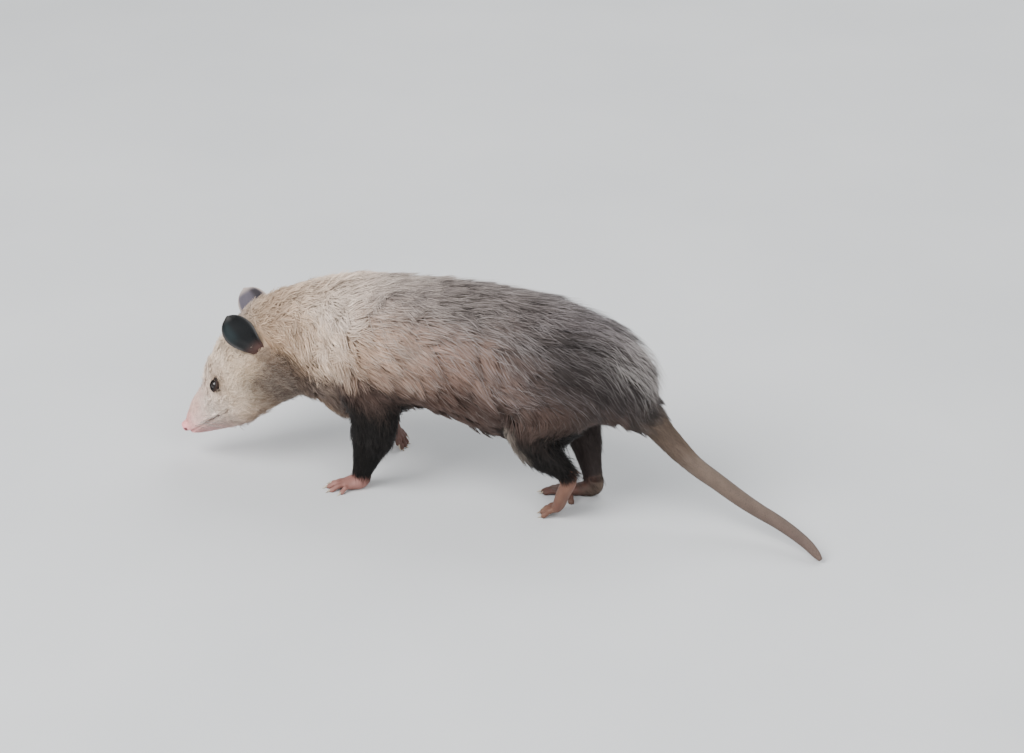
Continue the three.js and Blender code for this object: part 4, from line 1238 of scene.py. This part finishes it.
def growLongCoat():
    plan = coatPlans["longCoat"]
    furred = ease(0.75, 1.5, body.station) * (1 - body.isHead * 0.75) * (1 - body.bare)
    weight = furred * (1 - ease(0.15, 0.7, body.isLeg)) * (1 - ease(0.3, 0.9, body.isTail))
    weight = weight * mix(1.0, 0.75, ease(2.1, 2.7, body.bend)) * clearOfEars(body.points)
    roots = scatter(plan, weight)
    tufts, draw = growLocks(plan, roots)
    tone = tuftTone(draw, tufts, roots.count, 0.13)
    # painted shade: tufts that lie deeper in the coat are darker
    depth = mix(0.62 + 0.5 * tufts.layer, 0.82 + 0.22 * tufts.layer, tufts.wool)[:, None]
    base, tips = roots.read("colour") * tone, roots.read("tips") * tone
    tips = mix(base, tips, ease(-0.2, 0.2, draw.random(roots.count) + roots.read("frost") - 1))
    # painted shade at the roots, less of it in the woolly fur
    dim = 0.6 + 0.24 * tufts.wool[:, None]
    colours = tuftColours(base * dim * depth, base * depth, tips * (0.78 + 0.28 * depth))
    places, normals = longPlaces(tufts, draw.uniform(*plan["width"], roots.count))
    station = roots.read("station")
    neck, rump = station < plan["neckEnd"], station >= plan["rumpStart"]
    left = (tufts.root - trunk.rowAt(station)[:, :3])[:, 1] < 0
    pieces = {
        "coatNeck": (neck, "coat_pale"),
        "coatFlankLeft": (~neck & ~rump & left, "coat_pale"),
        "coatFlankRight": (~neck & ~rump & ~left, "coat_pale"),
        "coatRump": (rump, "coat_grey"),
    }
    makeCoat(pieces, "long", coatFinish, roots, places, normals, colours)


def growFluff():  # the crown and cheeks, and the ragged upper legs
    crown = body.isHead * ease(32, 66, body.along) * (body.bare < 0.2)
    for centre, _ in eyes.values():
        crown = crown * (gapTo(body.points, centre) > 12)
    upperLegs = ease(0.1, 0.6, body.isLeg) * ease(38, 82, body.points[:, 2]) * (1 - body.bare)
    for name, weight in (("coatCrown", crown * clearOfEars(body.points)), ("coatLegs", upperLegs)):
        plan = {**fluffyPlan, **coatPlans[name]}
        roots = scatter(plan, weight)
        tufts, draw = growLocks(plan, roots)
        tone = tuftTone(draw, tufts, roots.count, 0.07)
        base, tips = roots.read("colour") * tone, roots.read("tips") * tone
        places, normals = longPlaces(tufts, draw.uniform(*plan["width"], roots.count))
        pieces = {name: (slice(None), plan["slot"])}
        # the roots and middles are darkened as painted shade deep in the fur
        makeCoat(pieces, "long", coatFinish, roots, places, normals, tuftColours(base * 0.62, base * 0.95, tips))


def growGuardHairs():
    plan = coatPlans["guardHairs"]
    furred = ease(0.9, 1.8, body.station) * (1 - body.isHead) * (1 - body.bare)
    backLine = mix(0.3, 1.0, ease(4, 8, body.station)) * mix(1.0, 0.16, ease(0.6, 1.3, body.bend))
    weight = furred * backLine * (1 - ease(0.1, 0.6, body.isLeg)) * (1 - ease(0.2, 0.9, body.isTail))
    roots = scatter(plan, weight * mix(1.0, 0.35, ease(1.7, 2.4, body.bend)))
    station = roots.read("station")
    standing = ease(8.6, 9.6, station) * ease(10.7, 10.1, station) * ease(1.0, 0.5, roots.read("bend"))
    tufts, draw = growLocks(plan, roots, 0.75 * standing)
    tone = draw.uniform(0.8, 1.15, roots.count)[:, None]
    pale = mix(roots.read("tips"), colourOf("e6dfd9"), 0.06 + 0.32 * standing) * tone
    places, normals = longPlaces(tufts, np.full(roots.count, plan["width"]))
    pieces = {"guardHairs": (slice(None), "coat_grey")}
    # the roots and middles are darkened as painted shade deep in the coat
    makeCoat(pieces, "long", coatFinish, roots, places, normals, tuftColours(pale * 0.5, pale * 0.85, pale))


def shortFurWeight():
    onLeg = ease(0.05, 0.5, body.isLeg)
    onFace = ease(0.1, 0.8, body.isHead) * ease(5, 11, body.along)
    onTail = ease(0.5, 1, body.isTail) * 0.5
    weight = np.maximum(np.maximum(onLeg, onFace * 2.0), onTail) * (1 - body.bare)
    long, tall = eyeMarks["bare"]
    for across, up, depth, _ in aroundEyes(body.points):
        weight = weight * (np.hypot(across / long, up / tall) + (depth < 0) > 1)
    level, reach = nearMouth(body.points)
    lips = (level > -2.6 - 0.06 * reach) & (level < 1.2 + 0.02 * reach)
    lips = lips & (reach < mouthSizes["corner"]) & (reach > -3) & (body.isHead > 0.5)
    return weight * (1 - 0.95 * lips) * clearOfEars(body.points)


def growShortFur():
    plan = coatPlans["shortFur"]
    roots = scatter(plan, shortFurWeight())
    count, draw = roots.count, np.random.default_rng(plan["seed"] + 1)
    root, normal, lie = roots.read("points"), unit(roots.read("normals")), unit(roots.read("lie"))
    curl = 0.5 + 0.45 * roots.read("isHead") * ease(25, 50, roots.read("along"))
    lie = turnedBy(lie, normal, 0.25 * ripple(root, 15, 31) + curl * ripple(root, 8, 32) + draw.normal(0, 0.18, count))
    length = roots.read("length") * draw.uniform(0.7, 1.15, count)
    rise = roots.read("rise") * draw.uniform(0.35, 1.35, count)
    tip, tipNormal, _ = overSkin(root + lie * length[:, None])
    tip = tip + tipNormal * rise[:, None]
    across = unit(np.cross(normal, lie))
    half = (plan["width"] / 2 * draw.uniform(0.8, 1.3, count) * (0.55 + length / 14).clip(0.6, 1.3))[:, None]
    base = root - normal * coatSizes["shortSunk"]
    places = np.stack([base - across * half, base + across * half, root + normal * half * 0.6, tip], 1)
    normals = np.stack([normal - across * 0.3, normal + across * 0.3, normal, tipNormal], 1)
    tone = (1 + draw.normal(0, 0.14, count) + 0.12 * ripple(root, 6, 33)).clip(0.6, 1.5)[:, None]
    colour = roots.read("colour") * tone
    tips = mix(colour, roots.read("tips") * tone, ease(0.4, 1, draw.random(count)))
    # the root corners and base are darkened as painted shade at the skin
    colours = np.stack([colour * 0.72] * 2 + [colour * 0.85, tips], 1)
    part = partOfRoots(roots)
    tiles, left = np.array(list(bakeTiles))[part], roots.read("wide") > 0
    face, front = tiles == "head", np.char.startswith(tiles, "foreleg")
    pieces = {
        "furFaceLeft": (face & left, "face_fur"),
        "furFaceRight": (face & ~left, "face_fur"),
        "furForelegs": (front, "dark_fur"),
        "furHindlegs": (~face & ~front, "dark_fur"),
    }
    makeCoat(pieces, "short", shortFinish, roots, places, normals, colours, part)


growLongCoat()
growFluff()
growGuardHairs()
growShortFur()
print("coat grown")

earSizes = {"width": 31, "buried": 5, "cup": 7, "thick": 1.5, "rim": 0.8, "rows": 34, "columns": 30}
earSkin = earFinish("opossumEar")


def buildEar(name):
    e, plan = earSizes, earPlans[name]
    base, tall, facing, across = earFrame(name)
    rows, columns = e["rows"] + 1, e["columns"] + 1
    v = np.sin(np.linspace(0, math.pi / 2, rows))[:, None] * np.ones((1, columns))  # up the ear
    w = np.linspace(-1, 1, columns)[None] * np.ones((rows, 1))  # across it
    crown = np.sqrt(np.maximum(1 - ((v - 0.6) / 0.4) ** 2, 0.02))
    half = e["width"] / 2 * np.where(v < 0.6, 0.46 + 0.54 * ease(0, 0.6, v), crown)
    bend = e["cup"] * (1 - w**2) * mix(0.25, 1, ease(0, 0.45, v)) * (1 - 0.4 * v**2)
    ruffle = 0.8 * np.sin(w * 9 + v * 4) * ease(0.5, 1, np.abs(w)) + 0.6 * np.sin(v * 13 + w * 3) * (1 - v)
    ruffle = ruffle + 0.7 * bell(w, 0.15 - 0.5 * v, 0.16) * ease(0.1, 0.4, v) * (1 - v)
    depth = -bend + 3.2 * np.sin(math.pi * v) - 3.5 * v**2 + ruffle - 2 * (1 - v) ** 3
    thick = (e["thick"] + (e["rim"] - e["thick"]) * np.maximum(v, np.abs(w))) * (1 + 0.8 * (1 - v))
    rise = (plan["length"] + e["buried"]) * v - e["buried"]
    middle = base + tall * rise[..., None] + across * (w * half * (1 - 0.12 * (1 - v)))[..., None]
    middle = middle + facing * depth[..., None]
    leaves = [(middle + facing * (sign * thick / 2)[..., None]).reshape(-1, 3) for sign in (1, -1)]
    count = rows * columns
    grid = np.arange(count).reshape(rows, columns)
    edge = [*grid[0, :-1], *grid[:-1, -1], *grid[-1, :0:-1], *grid[:0:-1, 0]]
    faces = gridFaces(rows, columns, False)
    faces += [tuple(count + k for k in face[:1] + face[:0:-1]) for face in faces]
    faces += [(q, p, p + count, q + count) for p, q in zip(edge, edge[1:] + edge[:1])]
    piece = makeMesh(name + "Leaf", np.vstack(leaves), faces)
    tints = plan["colours"]
    rim = np.maximum(ease(0.78, 0.97, np.abs(w)), ease(0.86, 0.985, v)) * ease(0.15, 0.4, v)
    # a patch up one side of the leaf: a painted sheen on the near ear, a darker inner part on the far ear
    patchAndSheen = ease(0.1, 0.55, w * plan["spotSide"] * np.sign(across[0])) * ease(0.4, 0.7, v) * (1 - rim)
    colour = np.tile(colourOf(tints["blade"]), (count, 1))
    colour = tint(colour, (tints["rim"], 0.85), rim.ravel())
    colour = tint(colour, (tints["patchAndSheen"], 0.8), patchAndSheen.ravel())
    colour = tint(colour, (tints["root"], 1), ease(0.34, 0.08, v).ravel())
    paint(piece.data, "skinColour", np.vstack([colour, colour]))
    settle(piece, earSkin, "ear_skin", name)


eyeShine = eyeFinish("opossumEye")


def buildEye(name):
    settle(ballMesh(name + "Ball", eyes[name][0], eyeSizes["radius"], 48, 32), eyeShine, "eye_black", name)


lidSizes = {
    "long": 4.4,  # half the opening, millimetres
    "tall": 2.5,
    "around": 64,
    "colours": ("0c0807", "3a2a24"),  # at the opening and outside
    "section": [  # out from the opening's edge, and up from the eyeball
        (0.0, -0.4),
        (-0.1, 0.25),
        (0.2, 0.6),
        (0.6, 0.74),
        (1.1, 0.7),
        (1.7, 0.4),
        (2.6, -0.5),
        (2.2, -1.5),
        (1.0, -1.3),
    ],
}


def buildLids(name):
    centre, outward = eyes[name]
    first, second = eyeAxes(outward)
    size, lids = eyeSizes["radius"], lidSizes
    points, outer = [], []
    for k in range(lids["around"]):
        turn = 2 * math.pi * k / lids["around"]
        a, b = lids["long"] * math.cos(turn), lids["tall"] * math.sin(turn) * (1 - 0.28 * math.cos(turn) ** 2)
        edge = math.hypot(a, b)
        for out, up in lids["section"]:
            r = edge + out
            height = size * math.cos(0.95 * r / size) + up
            points.append(centre + (first * a + second * b) / edge * r + outward * height)
            outer.append(min(max((out - 0.5) / 1.4, 0), 1))
    faces = gridFaces(lids["around"], len(lids["section"]), ring=True)
    piece = makeMesh(name.replace("eye", "lids"), points, faces)
    graph = bmesh.new()
    graph.from_mesh(piece.data)
    bmesh.ops.recalc_face_normals(graph, faces=graph.faces)
    graph.to_mesh(piece.data)
    graph.free()
    inside, outside = (colourOf(text) for text in lids["colours"])
    paint(piece.data, "skinColour", mix(inside, outside, outer))
    settle(piece, earSkin, "pink_skin")


whiskerSizes = {
    "count": 15,  # on each side
    "brows": 2,  # over each eye
    "length": (20, 34),
    "browLength": (14, 20),
    "along": (13, 31),  # from the nose
    "up": (-6, 2.5),
    "thick": 0.16,
    "sides": 5,
    "steps": 9,
    "seed": 61,
}
clawSizes = {"thick": 1.0, "length": 4.4, "buried": 1.6, "arch": 0.9, "drop": 3.0, "sides": 8, "steps": 8}


def threadTree(name):  # turns lines with a "thick" at each point into tapered round threads
    tree = bpy.data.node_groups.new(name, "GeometryNodeTree")
    given = {"Lines": "Geometry", "Sides": "Int", "Finish": "Material"}
    for key, kind in given.items():
        tree.interface.new_socket(key, in_out="INPUT", socket_type="NodeSocket" + kind)
    tree.interface.new_socket("Threads", in_out="OUTPUT", socket_type="NodeSocketGeometry")
    make, start, end = NodeMaker(tree).node, tree.nodes.new("NodeGroupInput"), tree.nodes.new("NodeGroupOutput")
    lines, sides, finish = (Wire(tree, start.outputs[key]) for key in given)
    curve = make("GeometryNodeMeshToCurve", {}, {"Mesh": lines})
    profile = make("GeometryNodeCurvePrimitiveCircle", {}, {"Resolution": sides, "Radius": 1.0})
    thick = make("GeometryNodeInputNamedAttribute", {}, {"Name": "thick"})
    inputs = {"Curve": curve, "Profile Curve": profile, "Scale": thick, "Fill Caps": True}
    tube = make("GeometryNodeCurveToMesh", {}, inputs)
    whole = make("GeometryNodeRealizeInstances", {}, {"Geometry": tube})
    coloured = make("GeometryNodeSetMaterial", {}, {"Geometry": whole, "Material": finish})
    tree.links.new(coloured.socket, end.inputs["Threads"])
    return tree


threads = threadTree("taperedThreads")


def growThreads(name, lines, thick, sides, finish, slotName):  # lines in millimetres, each with its radius per point
    mesh = bpy.data.meshes.new(name)
    starts = np.cumsum([0] + [len(line) for line in lines[:-1]])
    edges = [(a + k, a + k + 1) for a, line in zip(starts, lines) for k in range(len(line) - 1)]
    mesh.from_pydata([tuple(p) for p in np.vstack(lines) * mm], edges, [])
    mesh.attributes.new("thick", "FLOAT", "POINT").data.foreach_set("value", np.concatenate(thick) * mm)
    piece = addObject(name, mesh)
    grow = piece.modifiers.new("grow", "NODES")
    grow.node_group = threads
    inputs = {item.name: item.identifier for item in threads.interface.items_tree if item.in_out == "INPUT"}
    grow[inputs["Sides"]] = sides
    grow[inputs["Finish"]] = finish
    applyModifiers(piece)
    piece.data.polygons.foreach_set("use_smooth", [True] * len(piece.data.polygons))
    settle(piece, None, slotName)


def growWhiskers():
    w = whiskerSizes
    draw = np.random.default_rng(w["seed"])
    lines, thick = [], []
    share = np.linspace(0, 1, w["steps"])[:, None]

    def whisker(near, out, length, bow, size=1.0):
        at = np.array(near) - out * 0.8
        lines.append(at + out * length * share + bow * share**2)
        thick.append(size * w["thick"] * (1.02 - share[:, 0]) + 0.03)

    for sign in (-1, 1):
        for _ in range(w["count"]):
            aside = onHead(draw.uniform(*w["along"]), sign * 30, draw.uniform(*w["up"]))
            root = skinTree.find_nearest(aside + headSide * -sign * 12)[0]
            length = draw.uniform(*w["length"])
            back, side, drop = (draw.uniform(*span) for span in ((0.35, 0.85), (0.45, 0.6), (-0.1, 0.45)))
            sag = np.array((0, 0, -1.0)) * length * draw.uniform(0.05, 0.2)
            out = unit(headAlong * back + headSide * sign * side - headUp * drop)
            whisker(root, out, length, sag + headAlong * length * 0.16)
        for _ in range(w["brows"]):
            centre, outward = eyes["eye_left" if sign > 0 else "eye_right"]
            slit, lift = eyeAxes(outward)
            root = skinTree.find_nearest(centre + outward * 4 + lift * 9 + slit * draw.uniform(-4, 3))[0]
            length = draw.uniform(*w["browLength"])
            whisker(root, unit(outward * 0.8 + headAlong * 0.7 + lift * 0.3), length, headAlong * length * 0.25, 0.7)
    growThreads("whiskers", lines, thick, w["sides"], hornFinish("opossumWhisker", "2a2422", "d8d0c8"), "face_fur")


def growClaws():
    c = clawSizes
    lines, thick = [], []
    share = np.linspace(0, 1, c["steps"])[:, None]
    radius = c["thick"] * (1 - share[:, 0]) ** 0.8 + 0.08
    for name, plan in pawPlans.items():
        toes = plan["toes"] if "fore" in name else plan["toes"][:4]  # the hind thumb has none
        for toe in toes:
            pad, tip = np.array(toeRows(toe))[-2:, :3] + frameShift
            forward, up = unit(tip - pad), np.array((0, 0, 1.0))
            root = tip - forward * c["buried"] + up * (0.35 * toe[3])
            line = root + forward * (c["length"] + c["buried"]) * share
            line = line + up * c["arch"] * share - up * c["drop"] * share**2.2
            line[:, 2] = np.maximum(line[:, 2], radius + floorGap["claws"])
            lines.append(line)
            thick.append(radius)
    growThreads("claws", lines, thick, c["sides"], hornFinish("opossumClaw", "8f7f6c", "d9ccb6"), "pink_skin")


for name in earPlans:
    buildEar(name)
for name in eyes:
    buildEye(name)
    buildLids(name)
growWhiskers()
growClaws()
fleshNodes = ["head", "lower_jaw", "neck", "torso_front", "torso_rear", "tail_1", "tail_2", "tail_3", "tail_4"]
for plan in legPlans.values():
    fleshNodes += plan["nodes"]
settle(skin, fleshFinish, "pink_skin", *fleshNodes)
print("ears, eyes and skin placed")

# Floor, light and camera
stagePlan = {
    "floor": 6.0,
    "camera": (0.7875, -2.1427, 1.2292),
    "target": (-0.0118, 0.0532, 0.0895),
    "lens": 98.72,
    "lights": [  # place, size, watts
        ((-1.3, -1.7, 2.3), 1.8, 120),
        ((1.7, -1.5, 1.5), 1.6, 40),
        ((0.3, 2.0, 2.2), 2.2, 50),
    ],
    "sky": 0.62,
    "skyColour": (0.93, 0.97, 1.0, 1),
}


def aimed(name, data, place):  # at the target
    made = addObject(name, data)
    made.location = place
    made.rotation_euler = (Vector(stagePlan["target"]) - Vector(place)).to_track_quat("-Z", "Y").to_euler()
    return made


def buildStage():
    side = stagePlan["floor"] / mm
    corners = [(-side, -side, 0), (side, -side, 0), (side, side, 0), (-side, side, 0)]
    floor = makeMesh("paleFloor", corners, [(0, 1, 2, 3)], False)
    floor.data.materials.append(floorFinish("paleFloor"))
    for k, (place, size, power) in enumerate(stagePlan["lights"]):
        lamp = bpy.data.lights.new(f"softbox{k}", "AREA")
        lamp.size, lamp.energy = size, power
        aimed(f"softbox{k}", lamp, place)
    world = bpy.data.worlds.new("studio")
    world.use_nodes = True
    sky = world.node_tree.nodes["Background"]
    sky.inputs["Color"].default_value, sky.inputs["Strength"].default_value = stagePlan["skyColour"], stagePlan["sky"]
    bpy.context.scene.world = world
    lens = bpy.data.cameras.new("camera")
    lens.lens, lens.sensor_width = stagePlan["lens"], 36
    lens.clip_start, lens.clip_end = 0.05, 50
    bpy.context.scene.camera = aimed("camera", lens, stagePlan["camera"])


buildStage()
